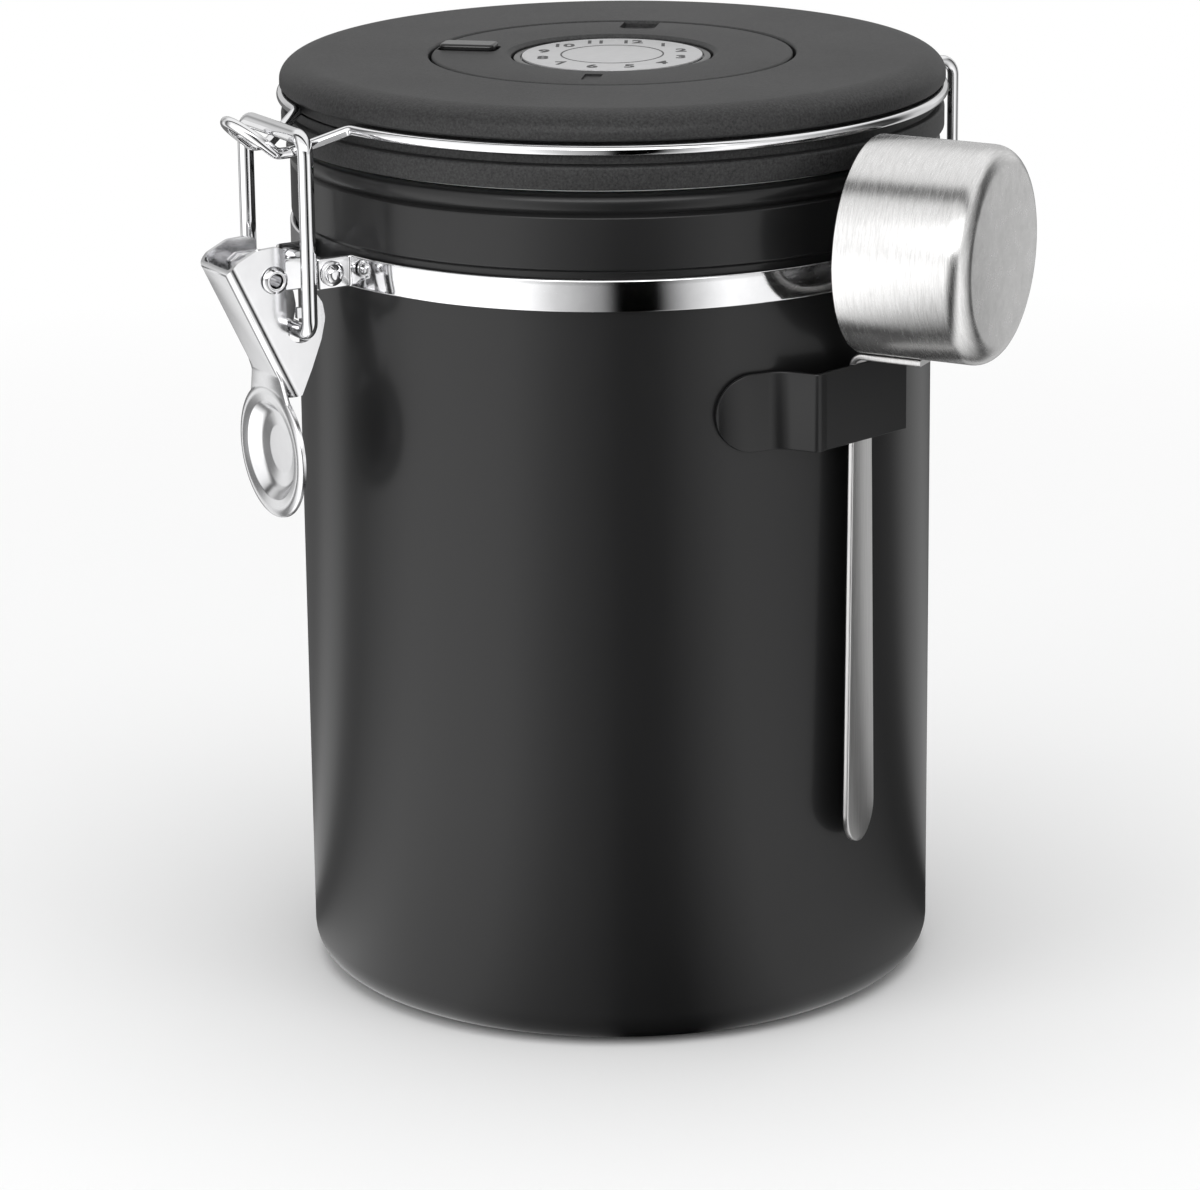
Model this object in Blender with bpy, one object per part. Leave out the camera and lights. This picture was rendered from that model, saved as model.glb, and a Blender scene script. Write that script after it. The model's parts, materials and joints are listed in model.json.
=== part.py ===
"""Coffee canister: a sheet-metal can with a hinged, wire-latched lid, a date dial and a scoop.

The can stands on z = 0 with its axis on the origin. The latch is at the front, towards -Y,
the lid's hinge is at the back, towards +Y, and the scoop hangs in its clip on the +X side.
All sizes are in metres.
"""
import math

import bmesh
import bpy
from mathutils import Matrix, Vector

# Clearances and facets shared by all pieces
GAP = 0.0003
OVERRUN = 0.002
TURN_STEPS = 48
SMALL_STEPS = 24
SHARP_ANGLE = math.radians(35)

# Can
CAN_RADIUS = 0.062
CAN_WALL = 0.0008
CAN_FLOOR = 0.0010
FOOT_RADIUS = 0.006
BEAD_HEIGHT = 0.1648
BEAD_RADIUS = 0.0019
BEAD_INSET = 0.0004
BEAD_GROOVE = 0.0006
COLLAR_DROP = 0.0023
COLLAR_HEIGHT = 0.0106
COLLAR_STEP = 0.0008

# Strap with its two ears, under the collar
STRAP_DROP = 0.0013
STRAP_HEIGHT = 0.0061
STRAP_WALL = 0.0008
EAR_SPREAD = 0.0079
EAR_NECK_SPREAD = 0.0048
EAR_REACH = 0.0034
EAR_TIP_SHARE = 0.55
EAR_JOGGLE_REACH = 0.0074
EAR_JOGGLE_LENGTH = 0.0016

# Rivet and spacer that draw the ears together
CLAMP_RIVET_REACH = 0.0046
CLAMP_SHANK_RADIUS = 0.0012
CLAMP_HEAD_RADIUS = 0.0024
CLAMP_HEAD_HEIGHT = 0.0009
SPACER_WALL = 0.0006

# Latch lever
LEVER_REACH = 0.0157
LEVER_PIVOT_DROP = 0.00035
LEVER_HALF_WIDTH = 0.0065
LEVER_WALL = 0.0010
LEVER_CORNER_RADIUS = 0.0020
LEVER_LENGTH = 0.0290
LEVER_BACK_SHARES = ((0.328, 0.066), (0.262, 0.138), (0.120, 0.207), (-0.030, 0.214), (-0.093, 0.186))
LEVER_HORN_SHARES = ((-0.300, -0.120), (-0.345, -0.190), (-0.362, -0.290), (-0.330, -0.430), (-0.255, -0.620))
LEVER_TIP_SHARE = (-0.179, -0.786)
LEVER_LOW_SHARE = (-0.093, -0.800)
LINK_DROP_SHARE = 0.3345
PAD_RADIUS = 0.0130
PAD_OVERLAP = 0.0013
PAD_FORWARD = 0.0005
PAD_DISH = 0.0018
PAD_DISH_SHARE = 0.70
PAD_RIM_RADIUS = 0.0011
PAD_WALL = 0.0010
PAD_LEAN = 0.02
RIVET_SHANK_RADIUS = 0.0019
RIVET_BORE_RADIUS = 0.00125
RIVET_HEAD_RADIUS = 0.0026
RIVET_HEAD_HEIGHT = 0.0009

# Link
LINK_WIRE_RADIUS = 0.0015
LINK_HALF_WIDTH = 0.0123
LINK_CORNER_RADIUS = 0.0030
LINK_END_BEND = 0.0026
LINK_END_HALF_GAP = 0.0036
LINK_BAR_DROP = 0.0004
SLOT_BRIDGE = 0.00025
SLOT_PLAY = 0.0015
TOOTH_HEIGHT = 0.0020
TOOTH_MOUTH = 0.0022

# Lid
PLUG_CLEARANCE = 0.0072
PLUG_DEPTH = 0.0018
PLUG_WALL = 0.0014
PLUG_CHAMFER = 0.0012
FLANGE_OVERHANG = 0.0023
FLANGE_HEIGHT = 0.0035
FLANGE_CHAMFER = 0.0005
SKIRT_WALL = 0.0011
SKIRT_LIFT = 0.0004
SHELL_WALL = 0.0015
NECK_HEIGHT = 0.0044
SPLIT_SHARE = 0.41
COVER_OVERHANG = 0.0025
COVER_HEIGHT = 0.0054
COVER_EDGE = 0.0007
SHOULDER_WIDTH = 0.0060
GASKET_THICKNESS = 0.0012
GASKET_PLAY = 0.0004
GASKET_LIP_DROP = 0.0018
GASKET_LIP_WALL = 0.0014
GASKET_LIP_INSET = 0.0014

# Wire round the lid, with its nose in front
RING_OVERHANG = 0.0020
RING_CLEARANCE = 0.0004
RING_WIRE_RADIUS = 0.0011
NOSE_ROOT_HALF_WIDTH = 0.0110
NOSE_HALF_WIDTH = 0.0050
NOSE_REACH = 0.0094
NOSE_TIP_RISE = 0.0017
NOSE_SADDLE_HALF_LENGTH = 0.0022
NOSE_BEND_RADIUS = 0.0024

# Hinge
HINGE_REACH = 0.0095
HINGE_HALF_WIDTH = 0.0125
HINGE_BEND_RADIUS = 0.0030
HINGE_END_HALF_GAP = 0.0020
BRACKET_HALF_WIDTH = 0.0090
BRACKET_WALL = 0.0008
BRACKET_HALF_HEIGHT = 0.0037
HINGE_RIVET_SPREAD = 0.0055
HINGE_RIVET_RISE = 0.0016
HINGE_RIVET_RADIUS = 0.0010
HINGE_RIVET_HEAD_RADIUS = 0.0018
HINGE_RIVET_HEAD_HEIGHT = 0.0007

# Date dial and what it turns round
DIAL_RADIUS = 0.03525
DIAL_DROP = 0.0002
DIAL_THICKNESS = 0.0028
DIAL_WINDOW_RADIUS = 0.0195
DIAL_LEDGE = 0.0035
DIAL_LEDGE_THICKNESS = 0.0008
DIAL_EDGE = 0.0004
GRIP_POLAR = math.radians(-133)
GRIP_CENTRE_SHARE = 0.571
GRIP_LENGTH_SHARE = 0.70
GRIP_WIDTH = 0.0056
GRIP_HEIGHT = 0.0011
GRIP_CORNER = 0.0015
MARK_POLAR = math.radians(-39)
MARK_CENTRE_SHARE = 0.463
MARK_LENGTH_SHARE = 0.38
MARK_WIDTH = 0.0034
MARK_DEPTH = 0.0004
NOTCH_POLAR = math.radians(139)
NOTCH_CENTRE_SHARE = 0.73
NOTCH_LENGTH_SHARE = 0.56
NOTCH_WIDTH = 0.0074
NOTCH_DEPTH = 0.0012
PLATE_THICKNESS = 0.0005
HUB_FLOOR = 0.0005
HUB_LIP = 0.0005
HUB_RIM = 0.0020
HUB_STEM_RADIUS = 0.0040
HUB_SNAP = 0.0009
HUB_SNAP_HEIGHT = 0.0014

# One-way valve under the lid
VALVE_RADIUS = 0.0110
VALVE_WALL = 0.0014
VALVE_FLANGE = 0.0024
VALVE_FLOOR = 0.0010
VALVE_HEIGHT = 0.0052
VALVE_HOLE_RADIUS = 0.0011
VALVE_HOLES = 6
VALVE_HOLE_SHARE = 0.5
FLAP_THICKNESS = 0.0006
CAP_THICKNESS = 0.0010
CAP_LIFT = 0.0024
CAP_SLOT_WIDTH = 0.0014
CAP_SLOTS = 3
CAP_SLOT_SHARE = 0.66

# Clip for the scoop, under the strap
CLIP_DROP = 0.02065
CLIP_HEIGHT = 0.0150
CLIP_WALL = 0.0008
CLIP_TAB_START = math.radians(-13.6)
CLIP_TAB_END = math.radians(-1.6)
CLIP_RIDGE_POLAR = math.radians(1.9)
CLIP_FACE_POLAR = math.radians(14)
CLIP_REACH = 0.0055
CLIP_FACE_END = 0.0100
CLIP_RIDGE_RISE = 0.0004

# Scoop
SCOOP_POLAR = math.radians(34)
HANDLE_REACH = 0.0027
HANDLE_OFFSET = 0.0006
HANDLE_WALL = 0.0012
HANDLE_TOP_WIDTH = 0.0085
HANDLE_LOW_WIDTH = 0.0132
HANDLE_LENGTH = 0.0975
HANDLE_BEND_RADIUS = 0.0020
TAB_LENGTH = 0.0137
CUP_RADIUS = 0.0204
CUP_DEPTH = 0.0259
CUP_WALL = 0.0007
CUP_CORNER = 0.0040
CUP_LIFT = 0.00205
CUP_REACH = 0.0021
CUP_OFFSET = -0.0015
CUP_DROOP = math.radians(1)

# Heights that follow from the bead of the can upwards
RIM_TOP = BEAD_HEIGHT + BEAD_RADIUS
PLUG_LOW = BEAD_HEIGHT - PLUG_DEPTH
GASKET_LOW = RIM_TOP + GAP
FLANGE_UNDER = GASKET_LOW + GASKET_THICKNESS + GAP
FLANGE_TOP = FLANGE_UNDER + FLANGE_HEIGHT
LID_SPLIT = FLANGE_TOP + NECK_HEIGHT * SPLIT_SHARE
COVER_LOW = FLANGE_TOP + NECK_HEIGHT
COVER_TOP = COVER_LOW + COVER_HEIGHT
RING_HEIGHT = COVER_LOW - RING_CLEARANCE - RING_WIRE_RADIUS
DIAL_TOP = COVER_TOP - DIAL_DROP
SEAT_FLOOR = DIAL_TOP - DIAL_THICKNESS - GAP
DIAL_LOW = SEAT_FLOOR + GAP
HUB_LOW = DIAL_LOW + DIAL_LEDGE_THICKNESS + GAP

# Heights that follow from the bead downwards
COLLAR_TOP = BEAD_HEIGHT - COLLAR_DROP
COLLAR_LOW = COLLAR_TOP - COLLAR_HEIGHT
STRAP_CENTRE_HEIGHT = COLLAR_LOW - STRAP_DROP - STRAP_HEIGHT / 2
HINGE_HEIGHT = STRAP_CENTRE_HEIGHT
LEVER_PIVOT_HEIGHT = STRAP_CENTRE_HEIGHT - LEVER_PIVOT_DROP
CLIP_MIDDLE = STRAP_CENTRE_HEIGHT - STRAP_HEIGHT / 2 - CLIP_DROP
CUP_HEIGHT = CLIP_MIDDLE + CLIP_HEIGHT / 2 + CUP_LIFT + CUP_RADIUS
HANDLE_TIP_HEIGHT = CUP_HEIGHT - CUP_RADIUS - HANDLE_LENGTH

# Distances from the axis that follow from the can
STRAP_INNER = CAN_RADIUS + GAP
STRAP_MIDDLE = STRAP_INNER + STRAP_WALL / 2
EAR_JOGGLE_START = CAN_RADIUS + EAR_JOGGLE_REACH
CLAMP_RIVET_DISTANCE = CAN_RADIUS + CLAMP_RIVET_REACH
LEVER_PIVOT_DISTANCE = CAN_RADIUS + LEVER_REACH
PLUG_RADIUS = CAN_RADIUS - CAN_WALL - PLUG_CLEARANCE
FLANGE_RADIUS = CAN_RADIUS + FLANGE_OVERHANG
GASKET_RADIUS = FLANGE_RADIUS - SKIRT_WALL - GASKET_PLAY
COVER_RADIUS = CAN_RADIUS + COVER_OVERHANG
RING_RADIUS = CAN_RADIUS + RING_OVERHANG
NECK_RADIUS = RING_RADIUS - RING_WIRE_RADIUS - GAP
HINGE_DISTANCE = CAN_RADIUS + HINGE_REACH
CLIP_FACE_DISTANCE = CAN_RADIUS + CLIP_REACH
HANDLE_CENTRE = CAN_RADIUS + HANDLE_REACH
CUP_PLANE = CAN_RADIUS + CUP_REACH

# The link's seat in the lever, and the nose under the link's bar
LINK_PIVOT_INSET = RIVET_SHANK_RADIUS + GAP + SLOT_BRIDGE + LINK_WIRE_RADIUS + GAP
LINK_PIVOT_DROP = LEVER_LENGTH * LINK_DROP_SHARE
LINK_PIVOT_DISTANCE = LEVER_PIVOT_DISTANCE - LINK_PIVOT_INSET
LINK_PIVOT_HEIGHT = LEVER_PIVOT_HEIGHT - LINK_PIVOT_DROP
BAR_HEIGHT = RING_HEIGHT - LINK_BAR_DROP
SWING_DIP = math.hypot(LINK_PIVOT_INSET, LINK_PIVOT_DROP) - LINK_PIVOT_DROP
SADDLE_HEIGHT = BAR_HEIGHT - LINK_WIRE_RADIUS - RING_WIRE_RADIUS - GAP - SWING_DIP

# The flat ring of the dial, between its window and its edge, and the disc in the window
DIAL_RING_WIDTH = DIAL_RADIUS - DIAL_WINDOW_RADIUS
PLATE_RADIUS = DIAL_WINDOW_RADIUS - HUB_RIM


def clear_scene():
    """Empties the scene."""
    for thing in list(bpy.data.objects):
        bpy.data.objects.remove(thing, do_unlink=True)


def finish_material(name, colour, roughness, metallic):
    """One plain material per finish."""
    material = bpy.data.materials.new(name)
    material.use_nodes = True
    shader = material.node_tree.nodes["Principled BSDF"]
    shader.inputs["Base Color"].default_value = (*colour, 1)
    shader.inputs["Roughness"].default_value = roughness
    shader.inputs["Metallic"].default_value = metallic
    return material


def add_object(name, mesh, material):
    """Links a mesh as a named object with one material, smooth but for its sharp edges."""
    piece = bpy.data.objects.new(name, mesh)
    bpy.context.scene.collection.objects.link(piece)
    mesh.materials.append(material)
    mesh.shade_smooth()
    mesh.set_sharp_from_angle(angle=SHARP_ANGLE)
    return piece


def mesh_from(name, work):
    """Closes a bmesh into a mesh with its faces pointing out."""
    bmesh.ops.recalc_face_normals(work, faces=work.faces[:])
    mesh = bpy.data.meshes.new(name)
    work.to_mesh(mesh)
    work.free()
    return mesh


def turned(name, outline, material, steps=TURN_STEPS):
    """Spins a closed outline of (radius, height) points round the Z axis."""
    work = bmesh.new()
    ring = [work.verts.new((radius, 0, height)) for radius, height in outline]
    edges = []
    for first, second in zip(ring, ring[1:] + ring[:1]):
        on_axis = first.co.x == 0 and second.co.x == 0
        if not on_axis:
            edges.append(work.edges.new((first, second)))
    bmesh.ops.spin(
        work, geom=ring + edges, cent=(0, 0, 0), axis=(0, 0, 1), angle=math.tau, steps=steps, use_merge=True
    )
    bmesh.ops.remove_doubles(work, verts=work.verts[:], dist=CAN_WALL / 1000)
    return add_object(name, mesh_from(name, work), material)


def slab(name, outline, direction, material):
    """Extrudes a flat closed outline of 3-D points along a direction."""
    work = bmesh.new()
    face = work.faces.new([work.verts.new(point) for point in outline])
    grown = bmesh.ops.extrude_face_region(work, geom=[face])
    moved = [item for item in grown["geom"] if isinstance(item, bmesh.types.BMVert)]
    bmesh.ops.translate(work, verts=moved, vec=direction)
    return add_object(name, mesh_from(name, work), material)


def strip(name, path, across, half_widths, wall, material):
    """Bends a flat strip along a path: its width lies along `across`, its wall to both sides."""
    work = bmesh.new()
    across = Vector(across).normalized()
    path = [Vector(point) for point in path]
    count = len(path)
    sections = []
    for place, point in enumerate(path):
        before = (point - path[max(place - 1, 0)]).normalized()
        after = (path[min(place + 1, count - 1)] - point).normalized()
        before = after if place == 0 else before
        after = before if place == count - 1 else after
        normal = (before + after).normalized().cross(across).normalized()
        mitre = 1 / max(normal.dot(before.cross(across).normalized()), 0.5)
        side = normal * (wall / 2 * mitre)
        wide = across * half_widths[place]
        corners = (point + side + wide, point + side - wide, point - side - wide, point - side + wide)
        sections.append([work.verts.new(corner) for corner in corners])
    for first, second in zip(sections, sections[1:]):
        for corner in range(4):
            following = (corner + 1) % 4
            work.faces.new((first[corner], first[following], second[following], second[corner]))
    work.faces.new(sections[0])
    work.faces.new(sections[-1][::-1])
    return add_object(name, mesh_from(name, work), material)


def wire(name, path, radius, material):
    """Bends a round wire with flat ends along a path."""
    curve = bpy.data.curves.new(name, "CURVE")
    curve.dimensions = "3D"
    curve.bevel_depth = radius
    curve.bevel_resolution = 2
    curve.use_fill_caps = True
    spline = curve.splines.new("POLY")
    spline.points.add(len(path) - 1)
    for knot, point in zip(spline.points, path):
        knot.co = (*point, 1)
    spline.use_smooth = True
    piece = bpy.data.objects.new(name, curve)
    bpy.context.scene.collection.objects.link(piece)
    curve.materials.append(material)
    return piece


def rounded(corners, radii, steps=4):
    """Rounds the inner corners of a path with arcs of the given radii."""
    corners = [Vector(corner) for corner in corners]
    points = [corners[0]]
    for place in range(1, len(corners) - 1):
        corner = corners[place]
        back = (corners[place - 1] - corner).normalized()
        onward = (corners[place + 1] - corner).normalized()
        half = back.angle(onward) / 2
        radius = radii[place - 1]
        run = radius / math.tan(half)
        centre = corner + (back + onward).normalized() * (radius / math.sin(half))
        first = corner + back * run - centre
        last = corner + onward * run - centre
        for step in range(steps + 1):
            points.append(centre + first.normalized().slerp(last.normalized(), step / steps) * radius)
    points.append(corners[-1])
    return points


def arc(centre, radius, start, stop, steps):
    """Points on an arc in a plane, as (across, up) pairs."""
    points = []
    for step in range(steps + 1):
        angle = start + (stop - start) * step / steps
        points.append((centre[0] + radius * math.cos(angle), centre[1] + radius * math.sin(angle)))
    return points


def boolean(piece, tool, operation):
    """Cuts a piece with a tool, or joins the tool to it, and keeps the result as plain mesh."""
    modifier = piece.modifiers.new(operation, "BOOLEAN")
    modifier.operation = operation
    modifier.object = tool
    graph = bpy.context.evaluated_depsgraph_get()
    result = bpy.data.meshes.new_from_object(piece.evaluated_get(graph))
    piece.modifiers.clear()
    piece.data = result
    bpy.data.objects.remove(tool, do_unlink=True)
    return piece


def rod(place, direction, radius, length, steps=SMALL_STEPS):
    """A round bar about a place, along a direction, used as a cutter or a pin."""
    outline = ((0, -length / 2), (radius, -length / 2), (radius, length / 2), (0, length / 2))
    bar = turned("cutter", outline, CHROME, steps)
    turn = Vector((0, 0, 1)).rotation_difference(Vector(direction)).to_matrix().to_4x4()
    bar.data.transform(Matrix.Translation(place) @ turn)
    return bar


def block(centre, length, width, height, polar, corner):
    """An upright block with rounded corners; its length points along the polar angle."""
    outline = []
    for turn, (side, end) in enumerate(((1, 1), (-1, 1), (-1, -1), (1, -1))):
        middle = (side * (length / 2 - corner), end * (width / 2 - corner))
        start = turn * math.pi / 2
        outline.extend(arc(middle, corner, start, start + math.pi / 2, 3))
    turn = Matrix.Rotation(polar, 4, "Z")
    points = [Vector(centre) + turn @ Vector((along, side, -height / 2)) for along, side in outline]
    return slab("cutter", points, (0, 0, height), CHROME)


def front(distance, height, across=0):
    """A point in front of the can, by its distance from the axis."""
    return Vector((across, -distance, height))


def make_vessel():
    """The can: rounded foot, straight wall, collar, groove and a rolled bead at the mouth."""
    inner_foot = FOOT_RADIUS - CAN_WALL
    outer_foot = arc((CAN_RADIUS - FOOT_RADIUS, FOOT_RADIUS), FOOT_RADIUS, -math.pi / 2, 0, 4)
    bead = arc(
        (CAN_RADIUS - BEAD_INSET, BEAD_HEIGHT), BEAD_RADIUS, math.radians(-50), math.radians(215), 9
    )
    inner_wall = CAN_RADIUS - CAN_WALL
    foot = arc((CAN_RADIUS - FOOT_RADIUS, CAN_FLOOR + inner_foot), inner_foot, 0, -math.pi / 2, 4)
    outline = [(0, 0)] + outer_foot
    outline += [
        (CAN_RADIUS, COLLAR_LOW),
        (CAN_RADIUS + COLLAR_STEP, COLLAR_LOW + COLLAR_STEP / 2),
        (CAN_RADIUS + COLLAR_STEP, COLLAR_TOP - COLLAR_STEP / 2),
        (CAN_RADIUS + COLLAR_STEP - BEAD_GROOVE, COLLAR_TOP + BEAD_GROOVE / 4),
    ]
    outline += bead + [(inner_wall, COLLAR_TOP)] + foot + [(0, CAN_FLOOR)]
    return turned("vessel", outline, BLACK)


def make_strap():
    """The strap round the can; both ends turn out as ears that narrow to the lever's pivot."""
    fold = math.asin(EAR_SPREAD / STRAP_MIDDLE)
    start = -math.pi / 2 + fold
    sweep = math.tau - 2 * fold
    steps = TURN_STEPS
    ear_end = LEVER_PIVOT_DISTANCE + EAR_REACH
    neck = EAR_JOGGLE_START + EAR_JOGGLE_LENGTH
    tip_run = STRAP_HEIGHT / 2 * EAR_TIP_SHARE
    full = STRAP_HEIGHT / 2
    ear = [
        (EAR_NECK_SPREAD, ear_end, full * EAR_TIP_SHARE),
        (EAR_NECK_SPREAD, ear_end - tip_run, full),
        (EAR_NECK_SPREAD, neck, full),
        (EAR_SPREAD, EAR_JOGGLE_START, full),
    ]
    path = [(across, -out, STRAP_CENTRE_HEIGHT) for across, out, half in ear]
    halves = [half for across, out, half in ear]
    for step in range(steps + 1):
        angle = start + sweep * step / steps
        path.append((STRAP_MIDDLE * math.cos(angle), STRAP_MIDDLE * math.sin(angle), STRAP_CENTRE_HEIGHT))
        halves.append(full)
    path += [(-across, -out, STRAP_CENTRE_HEIGHT) for across, out, half in reversed(ear)]
    halves += [half for across, out, half in reversed(ear)]
    strap = strip("strap_band", path, (0, 0, 1), halves, STRAP_WALL, CHROME)
    clamp = front(CLAMP_RIVET_DISTANCE, STRAP_CENTRE_HEIGHT)
    pivot = front(LEVER_PIVOT_DISTANCE, LEVER_PIVOT_HEIGHT)
    length = 2 * EAR_SPREAD + OVERRUN
    boolean(strap, rod(clamp, (1, 0, 0), CLAMP_SHANK_RADIUS + GAP, length, 12), "DIFFERENCE")
    boolean(strap, rod(pivot, (1, 0, 0), RIVET_SHANK_RADIUS + GAP, length, 12), "DIFFERENCE")
    for side in (-1, 1):
        hole = Vector((side * HINGE_RIVET_SPREAD, STRAP_MIDDLE, STRAP_CENTRE_HEIGHT + HINGE_RIVET_RISE))
        boolean(strap, rod(hole, (0, 1, 0), HINGE_RIVET_RADIUS + GAP, OVERRUN, 12), "DIFFERENCE")
    return strap


def headed_pin(name, place, direction, inner_span, head, material):
    """A round pin with a domed head past each end of the span it holds."""
    shank, head_radius, head_height = head
    half = inner_span / 2 + GAP
    top = half + head_height
    outline = [
        (0, -top),
        (head_radius * 0.6, -top),
        (head_radius, -half - head_height / 3),
        (head_radius, -half),
        (shank, -half),
        (shank, half),
        (head_radius, half),
        (head_radius, half + head_height / 3),
        (head_radius * 0.6, top),
        (0, top),
    ]
    pin = turned(name, outline, material, SMALL_STEPS)
    turn = Vector((0, 0, 1)).rotation_difference(Vector(direction)).to_matrix().to_4x4()
    pin.data.transform(Matrix.Translation(place) @ turn)
    return pin


def make_clamp():
    """The rivet through both ears, and the tube that keeps them apart."""
    place = front(CLAMP_RIVET_DISTANCE, STRAP_CENTRE_HEIGHT)
    span = 2 * EAR_SPREAD + STRAP_WALL
    head = (CLAMP_SHANK_RADIUS, CLAMP_HEAD_RADIUS, CLAMP_HEAD_HEIGHT)
    headed_pin("strap_rivet", place, (1, 0, 0), span, head, CHROME)
    inner = CLAMP_SHANK_RADIUS + GAP
    half = EAR_SPREAD - STRAP_WALL / 2 - GAP
    outline = ((inner, -half), (inner + SPACER_WALL, -half), (inner + SPACER_WALL, half), (inner, half))
    spacer = turned("strap_spacer", outline, CHROME, SMALL_STEPS)
    spacer.data.transform(Matrix.Translation(place) @ Matrix.Rotation(math.pi / 2, 4, "Y"))


def make_lever_rivet():
    """The tubular rivet that the lever turns on, flared over both side plates."""
    half = LEVER_HALF_WIDTH + GAP
    top = half + RIVET_HEAD_HEIGHT
    flare = (RIVET_HEAD_RADIUS + RIVET_BORE_RADIUS) / 2
    outline = [
        (RIVET_BORE_RADIUS, -top + RIVET_HEAD_HEIGHT / 2),
        (flare, -top),
        (RIVET_HEAD_RADIUS, -half),
        (RIVET_SHANK_RADIUS, -half),
        (RIVET_SHANK_RADIUS, half),
        (RIVET_HEAD_RADIUS, half),
        (flare, top),
        (RIVET_BORE_RADIUS, top - RIVET_HEAD_HEIGHT / 2),
    ]
    rivet = turned("lever_rivet", outline, CHROME, SMALL_STEPS)
    place = front(LEVER_PIVOT_DISTANCE, LEVER_PIVOT_HEIGHT)
    rivet.data.transform(Matrix.Translation(place) @ Matrix.Rotation(math.pi / 2, 4, "Y"))


def lever_point(share, across):
    """A point of the lever, as shares of its length out from and up from its pivot."""
    return front(
        LEVER_PIVOT_DISTANCE + share[0] * LEVER_LENGTH, LEVER_PIVOT_HEIGHT + share[1] * LEVER_LENGTH, across
    )


def channel_bar(half_width, setback, corner):
    """A bar along the lever's back, with two rounded corners towards it and open to the can."""
    top = lever_point(LEVER_BACK_SHARES[0], 0)
    low = lever_point(LEVER_LOW_SHARE, 0)
    down = (low - top).normalized()
    inward = Vector((1, 0, 0)).cross(down)
    inward = inward if inward.y > 0 else -inward
    far = 2 * LEVER_LENGTH
    section = arc((half_width - corner, setback + corner), corner, -math.pi / 2, 0, 3)
    section += [(half_width, far), (-half_width, far)]
    section += arc((corner - half_width, setback + corner), corner, math.pi, math.pi * 3 / 2, 3)
    start = top - down * LEVER_LENGTH
    points = [start + Vector((across, 0, 0)) + inward * depth for across, depth in section]
    return slab("cutter", points, down * (3 * LEVER_LENGTH), CHROME)


def make_lever():
    """The stamped lever: a channel of one sheet with slotted sides, and a dished thumb pad."""
    outline = (LEVER_TIP_SHARE, LEVER_LOW_SHARE) + LEVER_BACK_SHARES + LEVER_HORN_SHARES
    points = [lever_point(share, LEVER_HALF_WIDTH) for share in outline]
    lever = slab("latch_lever", points, (-2 * LEVER_HALF_WIDTH, 0, 0), CHROME)
    inner_corner = LEVER_CORNER_RADIUS - LEVER_WALL
    boolean(lever, channel_bar(LEVER_HALF_WIDTH, 0, LEVER_CORNER_RADIUS), "INTERSECT")
    boolean(lever, channel_bar(LEVER_HALF_WIDTH - LEVER_WALL, LEVER_WALL, inner_corner), "DIFFERENCE")
    low = lever_point(LEVER_LOW_SHARE, 0)
    top = lever_point(LEVER_BACK_SHARES[0], 0)
    pad_place = low + Vector((0, -PAD_FORWARD, PAD_OVERLAP - PAD_RADIUS))
    sheet = Vector((0, LEVER_WALL / 2, 0))
    rise = (top - low).normalized()
    path = [
        low + rise * (3 * LEVER_WALL) + sheet,
        low + sheet,
        pad_place + Vector((0, 0, PAD_RADIUS - 2 * PAD_RIM_RADIUS)),
        pad_place + Vector((0, 0, PAD_RADIUS - 3 * PAD_RIM_RADIUS)),
    ]
    halves = [LEVER_HALF_WIDTH - LEVER_WALL, LEVER_HALF_WIDTH, LEVER_HALF_WIDTH, LEVER_HALF_WIDTH]
    neck = strip("cutter", path, (1, 0, 0), halves, LEVER_WALL, CHROME)
    lip = PAD_RADIUS - PAD_RIM_RADIUS
    dish = PAD_RADIUS * PAD_DISH_SHARE
    rim = arc((lip, 0), PAD_RIM_RADIUS, math.radians(-120), math.radians(120), 7)
    outline = [
        (0, -PAD_DISH - PAD_WALL / 2),
        (dish / 2, -PAD_DISH * 0.8 - PAD_WALL / 2),
        (dish, -PAD_WALL / 2),
    ]
    outline += rim
    outline += [
        (dish, PAD_WALL / 2),
        (dish / 2, PAD_WALL / 2 - PAD_DISH * 0.8),
        (0, PAD_WALL / 2 - PAD_DISH),
    ]
    pad = turned("cutter", outline, CHROME, 32)
    turn = Matrix.Rotation(math.pi / 2 + PAD_LEAN, 4, "X")
    pad.data.transform(Matrix.Translation(pad_place) @ turn)
    boolean(lever, neck, "UNION")
    boolean(lever, pad, "UNION")
    slot_radius = LINK_WIRE_RADIUS + SLOT_PLAY
    slot_centre = LINK_PIVOT_DISTANCE - SLOT_PLAY + GAP
    tooth_low = LINK_PIVOT_HEIGHT + LINK_WIRE_RADIUS + GAP
    far = slot_centre + slot_radius
    near = slot_centre - slot_radius
    mouth = LEVER_PIVOT_HEIGHT + LEVER_LENGTH * LEVER_BACK_SHARES[2][1] + OVERRUN
    profile = arc((slot_centre, LINK_PIVOT_HEIGHT), slot_radius, math.pi, math.tau, 8)
    profile += [
        (far, mouth),
        (near, mouth),
        (near, tooth_low + TOOTH_HEIGHT),
        (far - TOOTH_MOUTH, tooth_low + TOOTH_HEIGHT),
        (far - TOOTH_MOUTH, tooth_low),
        (near, tooth_low),
    ]
    width = LEVER_HALF_WIDTH + OVERRUN
    slot = slab("cutter", [front(out, up, -width) for out, up in profile], (2 * width, 0, 0), CHROME)
    boolean(lever, slot, "DIFFERENCE")
    pivot = front(LEVER_PIVOT_DISTANCE, LEVER_PIVOT_HEIGHT)
    boolean(lever, rod(pivot, (1, 0, 0), RIVET_SHANK_RADIUS + GAP, 2 * width, 16), "DIFFERENCE")
    set_origin(lever, pivot)


def set_origin(piece, place):
    """Moves a piece's origin to its joint without moving the piece."""
    piece.data.transform(Matrix.Translation(-Vector(place)))
    piece.location = place


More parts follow.
